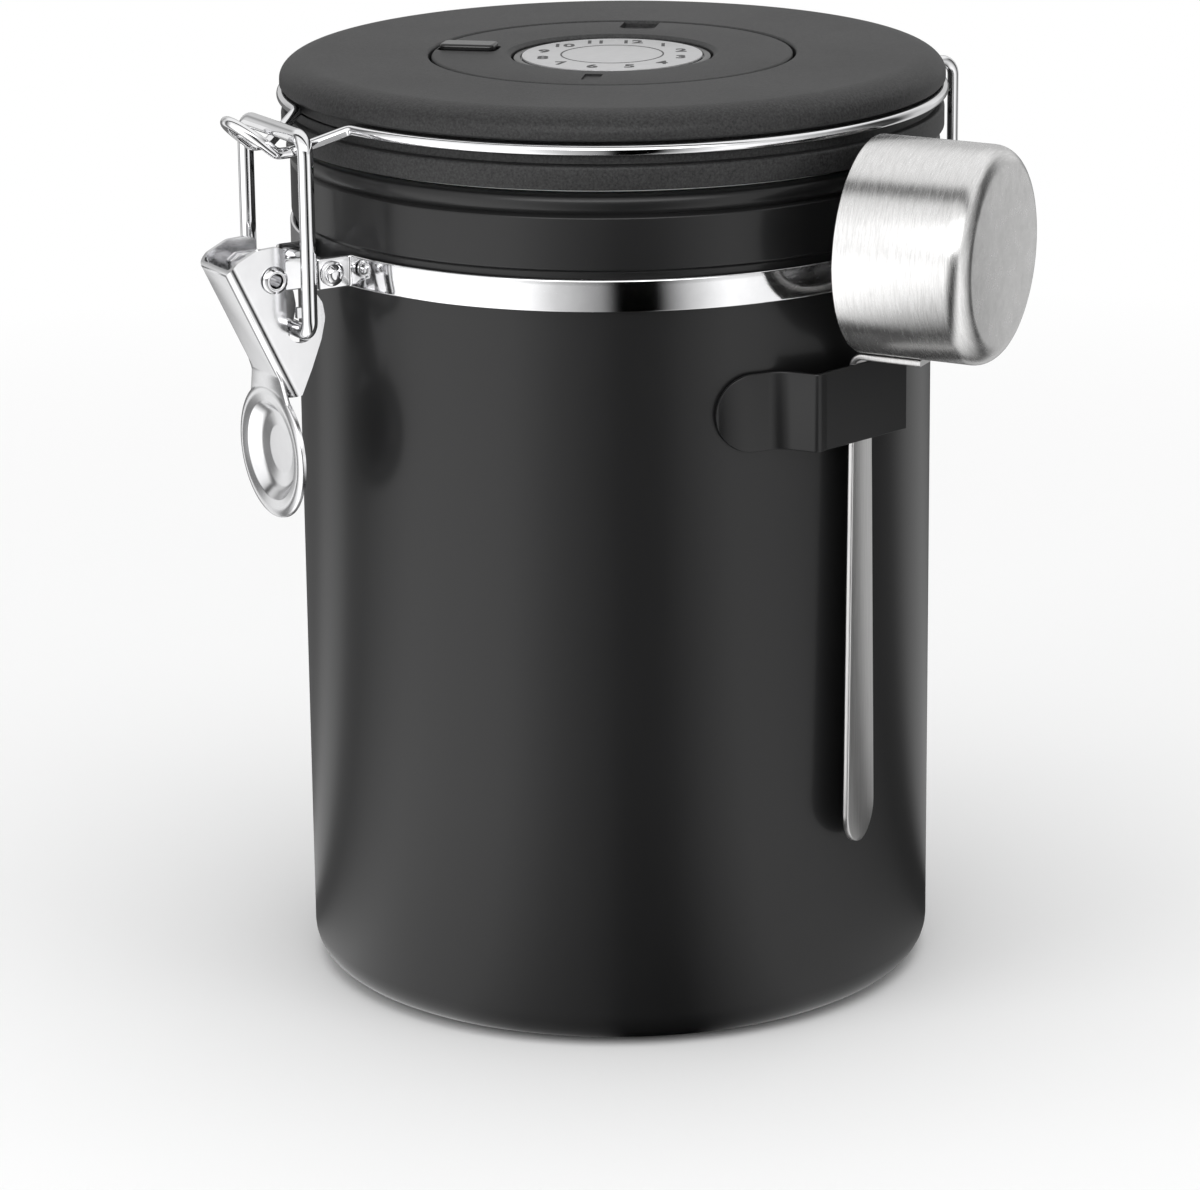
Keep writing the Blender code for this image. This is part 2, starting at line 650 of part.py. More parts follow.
def make_link():
    """The wire loop; its ends bend inward into the lever's slots."""
    distance = LINK_PIVOT_DISTANCE
    low, high = LINK_PIVOT_HEIGHT, BAR_HEIGHT
    corners = [
        front(distance, low, LINK_END_HALF_GAP),
        front(distance, low, LINK_HALF_WIDTH),
        front(distance, high, LINK_HALF_WIDTH),
        front(distance, high, -LINK_HALF_WIDTH),
        front(distance, low, -LINK_HALF_WIDTH),
        front(distance, low, -LINK_END_HALF_GAP),
    ]
    bends = (LINK_END_BEND, LINK_CORNER_RADIUS, LINK_CORNER_RADIUS, LINK_END_BEND)
    pivot = front(distance, low)
    path = [point - pivot for point in rounded(corners, bends)]
    link = wire("latch_link", path, LINK_WIRE_RADIUS, CHROME)
    link.location = pivot


def make_ring():
    """The lid's wire: hinge ends and legs at the back, the ring in its groove, the nose in front."""
    back_angle = math.acos(HINGE_HALF_WIDTH / RING_RADIUS)
    front_angle = -math.acos(NOSE_ROOT_HALF_WIDTH / RING_RADIUS)
    hinge = [
        Vector((HINGE_END_HALF_GAP, HINGE_DISTANCE, HINGE_HEIGHT)),
        Vector((HINGE_HALF_WIDTH, HINGE_DISTANCE, HINGE_HEIGHT)),
        Vector((HINGE_HALF_WIDTH, HINGE_DISTANCE, RING_HEIGHT)),
        ring_point(back_angle),
        ring_point(back_angle - 2 * HINGE_BEND_RADIUS / RING_RADIUS),
    ]
    legs = rounded(hinge, (HINGE_BEND_RADIUS, HINGE_BEND_RADIUS, HINGE_BEND_RADIUS / 2), 3)
    bar = LINK_PIVOT_DISTANCE
    saddle_start = bar - NOSE_SADDLE_HALF_LENGTH / 2
    saddle_end = bar + NOSE_SADDLE_HALF_LENGTH
    tip = bar + NOSE_REACH
    middle = tip - NOSE_HALF_WIDTH
    climb = (RING_HEIGHT + NOSE_TIP_RISE - SADDLE_HEIGHT) / (tip - saddle_end)
    start = front_angle + 2 * NOSE_BEND_RADIUS / RING_RADIUS
    nose = [
        ring_point(start),
        ring_point(front_angle),
        front(saddle_start, SADDLE_HEIGHT, NOSE_HALF_WIDTH),
        front(saddle_end, SADDLE_HEIGHT, NOSE_HALF_WIDTH),
        front(middle, SADDLE_HEIGHT + climb * (middle - saddle_end), NOSE_HALF_WIDTH),
    ]
    nose = rounded(nose, (NOSE_BEND_RADIUS, NOSE_BEND_RADIUS, NOSE_BEND_RADIUS), 3)
    for across, out in arc((0, middle), NOSE_HALF_WIDTH, 0, math.pi / 2, 6)[1:]:
        nose.append(front(out, SADDLE_HEIGHT + climb * (out - saddle_end), across))
    steps = 34
    first = back_angle - 2 * HINGE_BEND_RADIUS / RING_RADIUS
    circle = [ring_point(first + (start - first) * step / steps) for step in range(1, steps)]
    half = legs + circle + nose
    other = [Vector((-point.x, point.y, point.z)) for point in reversed(half[:-1])]
    hinge_line = Vector((0, HINGE_DISTANCE, HINGE_HEIGHT))
    path = [point - hinge_line for point in half + other]
    ring = wire("lid_ring", path, RING_WIRE_RADIUS, CHROME)
    ring.location = hinge_line


def ring_point(angle):
    """A point on the lid ring's centre line."""
    return Vector((RING_RADIUS * math.cos(angle), RING_RADIUS * math.sin(angle), RING_HEIGHT))


def make_hinge():
    """The folded bracket on the strap: its flat plate, and the curl that holds the wire's ends."""
    plate = STRAP_MIDDLE + STRAP_WALL / 2 + GAP + BRACKET_WALL / 2
    curl = RING_WIRE_RADIUS + GAP + BRACKET_WALL / 2
    high = STRAP_CENTRE_HEIGHT + BRACKET_HALF_HEIGHT
    floor = HINGE_HEIGHT - curl
    path = [(plate, high), (plate, floor + curl), (plate + curl / 3, floor + curl / 3), (plate + curl, floor)]
    path += arc((HINGE_DISTANCE, HINGE_HEIGHT), curl, -math.pi / 2, math.radians(205), 12)
    points = [(0, out, up) for out, up in path]
    halves = [BRACKET_HALF_WIDTH] * len(points)
    bracket = strip("hinge_bracket", points, (1, 0, 0), halves, BRACKET_WALL, CHROME)
    height = STRAP_CENTRE_HEIGHT + HINGE_RIVET_RISE
    inner = STRAP_INNER + GAP / 2
    outer = plate + BRACKET_WALL / 2 + GAP
    for side, name in ((-1, "hinge_rivet_left"), (1, "hinge_rivet_right")):
        place = Vector((side * HINGE_RIVET_SPREAD, plate, height))
        boolean(bracket, rod(place, (0, 1, 0), HINGE_RIVET_RADIUS + GAP, OVERRUN, 12), "DIFFERENCE")
        outline = (
            (0, inner),
            (HINGE_RIVET_RADIUS, inner),
            (HINGE_RIVET_RADIUS, outer),
            (HINGE_RIVET_HEAD_RADIUS, outer),
            (HINGE_RIVET_HEAD_RADIUS, outer + HINGE_RIVET_HEAD_HEIGHT / 2),
            (HINGE_RIVET_RADIUS, outer + HINGE_RIVET_HEAD_HEIGHT),
            (0, outer + HINGE_RIVET_HEAD_HEIGHT),
        )
        rivet = turned(name, outline, CHROME, 16)
        turn = Matrix.Rotation(-math.pi / 2, 4, "X")
        rivet.data.transform(Matrix.Translation((place.x, 0, height)) @ turn)


def make_lid():
    """Lower moulding, upper moulding and gasket."""
    hinge_line = Vector((0, HINGE_DISTANCE, HINGE_HEIGHT))
    bore = VALVE_RADIUS + GAP
    skirt = FLANGE_RADIUS - SKIRT_WALL
    inner_neck = NECK_RADIUS - SHELL_WALL
    ledge = FLANGE_UNDER + SHELL_WALL
    base = [
        (bore, PLUG_LOW),
        (PLUG_RADIUS - PLUG_CHAMFER, PLUG_LOW),
        (PLUG_RADIUS, PLUG_LOW + PLUG_CHAMFER),
        (PLUG_RADIUS, FLANGE_UNDER),
        (skirt, FLANGE_UNDER),
        (skirt, GASKET_LOW + SKIRT_LIFT),
        (FLANGE_RADIUS - FLANGE_CHAMFER / 2, GASKET_LOW + SKIRT_LIFT),
        (FLANGE_RADIUS, GASKET_LOW + SKIRT_LIFT + FLANGE_CHAMFER),
        (FLANGE_RADIUS, FLANGE_TOP - FLANGE_CHAMFER),
        (FLANGE_RADIUS - FLANGE_CHAMFER, FLANGE_TOP),
        (NECK_RADIUS, FLANGE_TOP),
        (NECK_RADIUS, LID_SPLIT),
        (inner_neck, LID_SPLIT),
        (inner_neck, ledge),
        (PLUG_RADIUS - PLUG_WALL, ledge),
        (PLUG_RADIUS - PLUG_WALL, PLUG_LOW + PLUG_WALL),
        (bore, PLUG_LOW + PLUG_WALL),
    ]
    set_origin(turned("lid_base", base, PLASTIC), hinge_line)
    seat = DIAL_RADIUS + GAP
    drop = COVER_TOP - COVER_LOW - 2 * COVER_EDGE
    top_edge = COVER_RADIUS - SHOULDER_WIDTH
    shoulder = [
        (top_edge + SHOULDER_WIDTH * math.cos(turn), COVER_TOP - drop * (1 - math.sin(turn)))
        for turn in (math.pi / 2 * step / 6 for step in range(7))
    ]
    ceiling = COVER_TOP - SHELL_WALL
    hollow = [
        (top_edge + (inner_neck - top_edge) * math.sin(turn), ceiling - drop * (1 - math.cos(turn)))
        for turn in (math.pi / 2 * step / 3 for step in range(4))
    ]
    stem_hole = HUB_STEM_RADIUS + GAP
    cover = [
        (inner_neck, LID_SPLIT + GAP),
        (NECK_RADIUS, LID_SPLIT + GAP),
        (NECK_RADIUS, COVER_LOW),
        (COVER_RADIUS - COVER_EDGE, COVER_LOW),
        (COVER_RADIUS, COVER_LOW + COVER_EDGE),
    ]
    cover += shoulder
    cover += [
        (seat, COVER_TOP),
        (seat, SEAT_FLOOR),
        (stem_hole, SEAT_FLOOR),
        (stem_hole, SEAT_FLOOR - SHELL_WALL),
        (seat + SHELL_WALL, SEAT_FLOOR - SHELL_WALL),
        (seat + SHELL_WALL, COVER_TOP - SHELL_WALL),
    ]
    cover += hollow
    set_origin(turned("lid_cover", cover, BLACK), hinge_line)
    lip = PLUG_RADIUS + GAP + GASKET_LIP_INSET
    gasket = [
        (PLUG_RADIUS + GAP, GASKET_LOW),
        (lip, GASKET_LOW),
        (lip, GASKET_LOW - GASKET_LIP_DROP),
        (lip + GASKET_LIP_WALL, GASKET_LOW - GASKET_LIP_DROP),
        (lip + GASKET_LIP_WALL, GASKET_LOW),
        (GASKET_RADIUS, GASKET_LOW),
        (GASKET_RADIUS, GASKET_LOW + GASKET_THICKNESS),
        (PLUG_RADIUS + GAP, GASKET_LOW + GASKET_THICKNESS),
    ]
    set_origin(turned("lid_gasket", gasket, RUBBER), hinge_line)


def polar_place(radius, angle, height):
    """A point by its distance and direction from the can's axis."""
    return Vector((radius * math.cos(angle), radius * math.sin(angle), height))


def dial_place(share, angle):
    """A point on the dial's flat ring, by its share of the way from the window to the edge."""
    return polar_place(DIAL_WINDOW_RADIUS + DIAL_RING_WIDTH * share, angle, DIAL_TOP)


def make_dial():
    """The turning ring with its thumb bar, mark and notch, and the fixed hub and number plate."""
    hinge_line = Vector((0, HINGE_DISTANCE, HINGE_HEIGHT))
    ledge = DIAL_WINDOW_RADIUS - DIAL_LEDGE
    ring = [
        (ledge, DIAL_LOW),
        (DIAL_RADIUS, DIAL_LOW),
        (DIAL_RADIUS, DIAL_TOP - DIAL_EDGE),
        (DIAL_RADIUS - DIAL_EDGE, DIAL_TOP),
        (DIAL_WINDOW_RADIUS + DIAL_EDGE, DIAL_TOP),
        (DIAL_WINDOW_RADIUS, DIAL_TOP - DIAL_EDGE),
        (DIAL_WINDOW_RADIUS, DIAL_LOW + DIAL_LEDGE_THICKNESS),
        (ledge, DIAL_LOW + DIAL_LEDGE_THICKNESS),
    ]
    dial = turned("date_dial", ring, BLACK)
    grip_place = dial_place(GRIP_CENTRE_SHARE, GRIP_POLAR)
    grip_length = DIAL_RING_WIDTH * GRIP_LENGTH_SHARE
    grip = block(grip_place, grip_length, GRIP_WIDTH, 2 * GRIP_HEIGHT, GRIP_POLAR, GRIP_CORNER)
    boolean(dial, grip, "UNION")
    mark_place = dial_place(MARK_CENTRE_SHARE, MARK_POLAR)
    mark_length = DIAL_RING_WIDTH * MARK_LENGTH_SHARE
    mark = block(mark_place, mark_length, MARK_WIDTH, 2 * MARK_DEPTH, MARK_POLAR, MARK_DEPTH)
    boolean(dial, mark, "DIFFERENCE")
    notch_place = dial_place(NOTCH_CENTRE_SHARE, NOTCH_POLAR)
    notch_length = DIAL_RING_WIDTH * NOTCH_LENGTH_SHARE
    notch = block(notch_place, notch_length, NOTCH_WIDTH, 2 * NOTCH_DEPTH, NOTCH_POLAR, NOTCH_DEPTH)
    boolean(dial, notch, "DIFFERENCE")
    pocket = PLATE_RADIUS + GAP
    barrel = ledge - GAP
    under = SEAT_FLOOR - SHELL_WALL - GAP
    hub_radius = DIAL_WINDOW_RADIUS - GAP
    snap = HUB_STEM_RADIUS + HUB_SNAP
    hub = [
        (0, under - HUB_SNAP_HEIGHT),
        (HUB_STEM_RADIUS, under - HUB_SNAP_HEIGHT),
        (snap, under - HUB_SNAP_HEIGHT / 2),
        (snap, under),
        (HUB_STEM_RADIUS, under),
        (HUB_STEM_RADIUS, DIAL_LOW),
        (barrel, DIAL_LOW),
        (barrel, HUB_LOW),
        (hub_radius, HUB_LOW),
        (hub_radius, HUB_LOW + HUB_FLOOR + HUB_LIP),
        (pocket, HUB_LOW + HUB_FLOOR + HUB_LIP),
        (pocket, HUB_LOW + HUB_FLOOR),
        (0, HUB_LOW + HUB_FLOOR),
    ]
    set_origin(turned("dial_hub", hub, PLASTIC, 36), hinge_line)
    low = HUB_LOW + HUB_FLOOR + GAP
    plate = ((0, low), (PLATE_RADIUS, low), (PLATE_RADIUS, low + PLATE_THICKNESS), (0, low + PLATE_THICKNESS))
    set_origin(turned("number_plate", plate, SILVER, 36), hinge_line)
    set_origin(dial, Vector((0, 0, DIAL_TOP)))


def make_valve():
    """The one-way valve in the lid's floor: housing, soft flap and slotted cap."""
    hinge_line = Vector((0, HINGE_DISTANCE, HINGE_HEIGHT))
    flange_top = PLUG_LOW - GAP
    low = flange_top - VALVE_FLOOR
    inner = VALVE_RADIUS - VALVE_WALL
    body = [
        (0, low),
        (VALVE_RADIUS + VALVE_FLANGE, low),
        (VALVE_RADIUS + VALVE_FLANGE, flange_top),
        (VALVE_RADIUS, flange_top),
        (VALVE_RADIUS, low + VALVE_HEIGHT),
        (inner, low + VALVE_HEIGHT),
        (inner, flange_top),
        (0, flange_top),
    ]
    housing = turned("valve_body", body, PLASTIC, SMALL_STEPS)
    for count in range(VALVE_HOLES):
        place = polar_place(inner * VALVE_HOLE_SHARE, math.tau * count / VALVE_HOLES, low)
        boolean(housing, rod(place, (0, 0, 1), VALVE_HOLE_RADIUS, 2 * VALVE_FLOOR + OVERRUN, 8), "DIFFERENCE")
    set_origin(housing, hinge_line)
    flap_low = flange_top + GAP
    flap_top = flap_low + FLAP_THICKNESS
    reach = inner - GAP
    flap = ((0, flap_low), (reach, flap_low), (reach, flap_top), (0, flap_top))
    set_origin(turned("valve_flap", flap, RUBBER, SMALL_STEPS), hinge_line)
    cap_low = flange_top + CAP_LIFT
    cap_top = cap_low + CAP_THICKNESS
    cap = ((0, cap_low), (reach, cap_low), (reach, cap_top), (0, cap_top))
    cover = turned("valve_cap", cap, PLASTIC, SMALL_STEPS)
    for count in range(CAP_SLOTS):
        turn = math.pi * count / CAP_SLOTS
        place = polar_place(reach * CAP_SLOT_SHARE, turn * 2, (cap_low + cap_top) / 2)
        corner = CAP_SLOT_WIDTH / 3
        slot = block(place, CAP_SLOT_WIDTH, reach * CAP_SLOT_SHARE, 2 * CAP_THICKNESS, turn * 2, corner)
        boolean(cover, slot, "DIFFERENCE")
    set_origin(cover, hinge_line)


def make_clip():
    """The bent strip: a round-ended tab on the can, a step outward and a straight face."""
    tab = CAN_RADIUS + GAP + CLIP_WALL / 2
    half = CLIP_HEIGHT / 2
    path, halves = [], []
    for step in range(5):
        turn = math.pi / 2 * (0.12 + 0.88 * step / 4)
        path.append(polar_place(tab, CLIP_TAB_START + half / tab * (1 - math.cos(turn)), CLIP_MIDDLE))
        halves.append(half * math.sin(turn))
    for share in (0.5, 1.0):
        start = CLIP_TAB_START + half / tab
        path.append(polar_place(tab, start + (CLIP_TAB_END - start) * share, CLIP_MIDDLE))
        halves.append(half)
    normal = polar_place(1, CLIP_FACE_POLAR, 0)
    along = polar_place(1, CLIP_FACE_POLAR + math.pi / 2, 0)
    face = CLIP_FACE_DISTANCE
    ridge = face * math.tan(CLIP_RIDGE_POLAR - CLIP_FACE_POLAR)
    bend = 3 * CLIP_WALL
    places = (
        (ridge, face - bend / 4),
        (ridge + bend / 3, face + CLIP_RIDGE_RISE),
        (ridge + bend, face),
        (CLIP_FACE_END, face),
    )
    for offset, distance in places:
        path.append(normal * distance + along * offset + Vector((0, 0, CLIP_MIDDLE)))
        halves.append(half)
    strip("scoop_clip", path, (0, 0, 1), halves, CLIP_WALL, BLACK)


def make_scoop():
    """The cup, and the long flat handle whose top end turns out beneath it."""
    outward = polar_place(1, SCOOP_POLAR, 0)
    side = polar_place(1, SCOOP_POLAR + math.pi / 2, 0)
    tilt = Matrix.Rotation(CUP_DROOP, 3, side)
    axis = tilt @ outward
    face_normal = polar_place(1, CLIP_FACE_POLAR, 0)
    face_along = polar_place(1, CLIP_FACE_POLAR + math.pi / 2, 0)
    line = face_normal * HANDLE_CENTRE + face_along * HANDLE_OFFSET
    distance = line.dot(outward)
    offset = line.dot(side)
    centre = outward * CUP_PLANE + side * (offset + CUP_OFFSET) + Vector((0, 0, CUP_HEIGHT))
    inner = CUP_RADIUS - CUP_WALL
    corner = arc((CUP_RADIUS - CUP_CORNER, CUP_DEPTH - CUP_CORNER), CUP_CORNER, 0, math.pi / 2, 4)
    hollow = arc(
        (CUP_RADIUS - CUP_CORNER, CUP_DEPTH - CUP_CORNER), CUP_CORNER - CUP_WALL, math.pi / 2, 0, 4
    )
    outline = [(CUP_RADIUS, 0)] + corner + [(0, CUP_DEPTH), (0, CUP_DEPTH - CUP_WALL)] + hollow + [(inner, 0)]
    cup = turned("scoop_cup", outline, STEEL, 40)
    turn = Vector((0, 0, 1)).rotation_difference(axis).to_matrix().to_4x4()
    cup.data.transform(Matrix.Translation(centre) @ turn)
    below = CUP_RADIUS + GAP + HANDLE_WALL / 2
    down = tilt @ Vector((0, 0, -1))
    tab_line = centre + down * below
    start = (distance - tab_line.dot(outward)) / axis.dot(outward)
    corner_point = tab_line + axis * start
    corner_point += side * (offset - corner_point.dot(side))
    tab_end = corner_point + axis * TAB_LENGTH
    tip = Vector((line.x, line.y, HANDLE_TIP_HEIGHT))
    tip_round = HANDLE_LOW_WIDTH / 2
    bend = rounded([tip, corner_point, tab_end], [HANDLE_BEND_RADIUS], 5)[1:]
    path, halves = [], []
    for step in range(6):
        turn = math.pi / 2 * (0.1 + 0.9 * step / 5)
        path.append(tip + Vector((0, 0, tip_round * (1 - math.cos(turn)))))
        halves.append(tip_round * math.sin(turn))
    straight = bend[0].z - path[-1].z
    for share in (0.25, 0.5, 0.75):
        path.append(path[5] + Vector((0, 0, straight * share)))
        halves.append(tip_round + (HANDLE_TOP_WIDTH / 2 - tip_round) * share)
    path += bend
    halves += [HANDLE_TOP_WIDTH / 2] * len(bend)
    strip("scoop_handle", path, side, halves, HANDLE_WALL, STEEL)


clear_scene()
BLACK = finish_material("black_coat", (0.025, 0.025, 0.026), 0.42, 0.0)
PLASTIC = finish_material("dark_plastic", (0.045, 0.045, 0.047), 0.50, 0.0)
CHROME = finish_material("bright_steel", (0.78, 0.78, 0.79), 0.12, 1.0)
STEEL = finish_material("brushed_steel", (0.62, 0.61, 0.60), 0.32, 1.0)
RUBBER = finish_material("silicone", (0.60, 0.60, 0.58), 0.60, 0.0)
SILVER = finish_material("number_disc", (0.80, 0.80, 0.81), 0.35, 0.0)
make_vessel()
make_strap()
make_clamp()
make_lever_rivet()
make_lever()
make_link()
make_ring()
make_hinge()
make_lid()
make_dial()
make_valve()
make_clip()
make_scoop()
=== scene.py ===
# %% [markdown]
# # A coffee canister with a wire latch
#
# The canister is a drawn steel can with a satin black coat. Its lid is held by a bright wire and
# an over-centre lever, a dial on top shows the month of opening, and a steel scoop hangs in a clip.
# The part's solids come in as a fixed frame. Almost every one is made again here with a finer
# surface in the same place, and gets a finish worked out with shader nodes.

# %% Load the frame
import json
import math

import bmesh
import bpy
import numpy as np
from mathutils import Matrix, Vector


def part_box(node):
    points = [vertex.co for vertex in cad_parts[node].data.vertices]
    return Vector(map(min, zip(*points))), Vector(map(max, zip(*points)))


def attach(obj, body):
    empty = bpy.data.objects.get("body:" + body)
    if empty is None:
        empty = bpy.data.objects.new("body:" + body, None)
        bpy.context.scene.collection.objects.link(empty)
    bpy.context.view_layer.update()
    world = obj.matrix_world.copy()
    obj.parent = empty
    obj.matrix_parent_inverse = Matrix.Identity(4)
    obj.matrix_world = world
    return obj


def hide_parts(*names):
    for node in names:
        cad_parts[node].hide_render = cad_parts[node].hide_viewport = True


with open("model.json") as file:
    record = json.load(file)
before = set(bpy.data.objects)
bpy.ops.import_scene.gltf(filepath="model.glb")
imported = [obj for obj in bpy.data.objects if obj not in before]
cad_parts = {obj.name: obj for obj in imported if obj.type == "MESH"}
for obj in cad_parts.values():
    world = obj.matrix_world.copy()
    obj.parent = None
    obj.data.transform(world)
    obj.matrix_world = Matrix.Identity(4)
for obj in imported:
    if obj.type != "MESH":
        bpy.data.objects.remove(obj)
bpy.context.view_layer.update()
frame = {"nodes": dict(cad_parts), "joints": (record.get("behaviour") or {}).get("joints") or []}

# %% [markdown]
# ## Places from the frame
#
# The solids already stand where the pieces belong, so where it is plain, widths, heights and
# pivots are read from their boxes and joints. Sizes are in millimetres, as such a part is
# measured, and become metres only when a mesh is made.

# %% Places from the frame
MM = 0.001
LOW, HIGH = 0, 1
X, Y, Z = 0, 1, 2


def end_of(node, end, axis):
    """Where a solid begins or ends along an axis, in millimetres to a hundredth."""
    return round(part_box(node)[end][axis] / MM, 2)


def middle_of(node, axis):
    """The middle of a solid along an axis, in millimetres to a hundredth."""
    return round((end_of(node, LOW, axis) + end_of(node, HIGH, axis)) / 2, 2)


def half_of(node, axis):
    """Half the size of a solid along an axis, in millimetres to a hundredth."""
    return round((end_of(node, HIGH, axis) - end_of(node, LOW, axis)) / 2, 2)


def pivot(name):
    """A joint's distance in front of the can's axis, and its height, in millimetres."""
    place = next(joint["pos_m"] for joint in frame["joints"] if joint["name"] == name)
    return round(-place[Y] / MM, 2), round(place[Z] / MM, 2)


def linked(name, data):
    """A new object at the origin of the scene."""
    thing = bpy.data.objects.new(name, data)
    bpy.context.scene.collection.objects.link(thing)
    return thing


print("lever turns at", pivot("lever_swing"), "lid turns at", pivot("lid_hinge"))

# %% [markdown]
# ## Camera
#
# The camera was fitted to the photograph: a long lens, a little above the lid, turned 58 degrees
# round the can from the latch side. Its place, its directions and its focal length in pixels of
# a picture 1200 wide are written as they came out of the fit.

# %% Camera
turn = math.radians(58)
VIEW = turn - math.pi / 2
pitch, yaw, roll = 0.2867, -0.0263, -0.011
standpoint = (0.0208, -0.9239, 0.3445)
focal_pixels, picture_width, sensor = 4817.4, 1200, 36.0


def about_z(vector):
    """The vector turned about the upright axis, from the latch side to the camera's side."""
    return Matrix.Rotation(turn, 3, "Z") @ Vector(vector)


forward = Vector((math.sin(yaw) * math.cos(pitch), math.cos(yaw) * math.cos(pitch), -math.sin(pitch)))
level = Vector((math.cos(yaw), -math.sin(yaw), 0))
above = level.cross(forward)
right = level * math.cos(roll) + above * math.sin(roll)
up = above * math.cos(roll) - level * math.sin(roll)
axes = [about_z(axis) for axis in (right, up, -forward)]
rows = Matrix([[axis[row] for axis in axes] for row in range(3)])
place = about_z(standpoint)
camera = linked("camera", bpy.data.cameras.new("camera"))
camera.matrix_world = Matrix.Translation(place) @ rows.to_4x4()
camera.data.sensor_width = sensor
camera.data.lens = focal_pixels / picture_width * sensor
camera.data.clip_start, camera.data.clip_end = 0.05, 20
bpy.context.scene.camera = camera
print("camera at", [round(value, 3) for value in place], "lens", round(camera.data.lens, 1))

# %% [markdown]
# ## Shader maths as plain expressions
#
# A finish is easier to read as arithmetic than as a web of nodes. A small class wraps one socket,
# and its operators add the Math nodes, also with the number on the left. One method adds any
# other node.

# %% One socket with arithmetic


def arithmetic(operation, swapped=False):
    """Makes an operator that adds a Math node; swapped is its form with the number on the left."""

    def operator(wire, other):
        values = (other, wire) if swapped else (wire, other)
        return wire.maths(operation, *values)

    return operator


class Wire:
    """A socket of a finish, with arithmetic that adds Math nodes."""

    def __init__(self, finish, socket):
        self.finish, self.socket = finish, socket

    def maths(self, operation, *values):
        """A Math node that works on these values."""
        return self.finish.node("ShaderNodeMath", {"operation": operation}, dict(enumerate(values)))

    def clamp(self):
        """The value held between 0 and 1."""
        above_zero = self.maths("MAXIMUM", self, 0.0)
        return self.maths("MINIMUM", above_zero, 1.0)

    __add__ = arithmetic("ADD")
    __radd__ = arithmetic("ADD", swapped=True)
    __sub__ = arithmetic("SUBTRACT")
    __rsub__ = arithmetic("SUBTRACT", swapped=True)
    __mul__ = arithmetic("MULTIPLY")
    __rmul__ = arithmetic("MULTIPLY", swapped=True)
    __truediv__ = arithmetic("DIVIDE")


print("operators ready")

# %% One finish


class Finish:
    """A named material with one Principled shader and a method that adds any other node.
    The colour and roughness it starts with are about the middle of what the nodes then give."""

    def __init__(self, name, colour, roughness, metallic=0.0, **more):
        self.material = bpy.data.materials.new(name)
        self.material.use_nodes = True
        self.tree = self.material.node_tree
        self.shader = self.tree.nodes["Principled BSDF"]
        plain = {"Base Color": (*colour, 1), "Roughness": roughness, "Metallic": metallic, **more}
        for socket, value in plain.items():
            self.shader.inputs[socket].default_value = value

    def node(self, kind, settings=None, values=None, output=0):
        """Adds a node, sets its settings, then its values or links, and gives one output."""
        added = self.tree.nodes.new(kind)
        for setting, value in (settings or {}).items():
            setattr(added, setting, value)
        for socket, value in (values or {}).items():
            if isinstance(value, Wire):
                self.tree.links.new(value.socket, added.inputs[socket])
            else:
                added.inputs[socket].default_value = value
        return Wire(self, added.outputs[output])

    def ramp(self, factor, stops):
        """A colour ramp through (place, grey or colour) stops, in rising order.
        A new ramp has two stops of its own, so they become the first and the last."""
        wire = self.node("ShaderNodeValToRGB", {}, {"Fac": factor})
        elements = wire.socket.node.color_ramp.elements
        for index, (place, colour) in enumerate([stops[0], stops[-1], *stops[1:-1]]):
            element = elements[index] if index < 2 else elements.new(place)
            element.position = place
            element.color = (*colour, 1) if isinstance(colour, tuple) else (colour, colour, colour, 1)
        return wire

    def place(self, scale=(1, 1, 1), rotation=(0, 0, 0)):
        """Object coordinates, turned and scaled."""
        coordinates = self.node("ShaderNodeTexCoord", output="Object")
        values = {"Vector": coordinates, "Scale": scale, "Rotation": rotation}
        return self.node("ShaderNodeMapping", {}, values)

    def noise(self, vector, scale, detail=3.0, roughness=0.5):
        """Soft noise between 0 and 1; the scale is the number of its waves in a metre."""
        values = {"Vector": vector, "Scale": scale, "Detail": detail, "Roughness": roughness}
        return self.node("ShaderNodeTexNoise", {}, values)

    def feed(self, socket, wire):
        """Links a value to one of the shader's sockets."""
        self.tree.links.new(wire.socket, self.shader.inputs[socket])

    def shade(self, factor, dark, pale):
        """Feeds the base colour: dark and pale are (place on the factor, colour)."""
        self.feed("Base Color", self.ramp(factor, (dark, pale)))

    def bump(self, height, distance, strength):
        """Turns a height between 0 and 1 into relief of that depth in metres."""
        values = {"Height": height, "Distance": distance, "Strength": strength}
        self.feed("Normal", self.node("ShaderNodeBump", {}, values))


print("finish helper ready")

# %% [markdown]
# ## Finishes
#
# The can's coat is a smooth satin powder coat: nearly black, with an orange-peel ripple finer
# than a millimetre and faint wipes that change mostly its gloss. The lid is moulded with a fine
# spark-eroded grain. The wires are polished steel, and the scoop is brushed. Each is noise on
# Object coordinates, because that stays put on a piece at its real size and needs no unwrapping.

# %% Black coat
coat = Finish("black_coat", (0.007, 0.007, 0.007), 0.42,
              **{"Specular IOR Level": 0.28, "Coat Weight": 0.3, "Coat Roughness": 0.17})
peel = coat.noise(coat.place(), 1100.0, detail=2.0)
wipes = coat.noise(coat.place(scale=(1, 1, 0.25)), 28.0, detail=4.0, roughness=0.6)
coat.feed("Roughness", 0.38 + 0.08 * wipes)
coat.shade(wipes, (0.3, (0.0055, 0.0055, 0.0057)), (0.75, (0.0085, 0.0085, 0.0088)))
coat.bump(peel, distance=0.00001, strength=0.6)

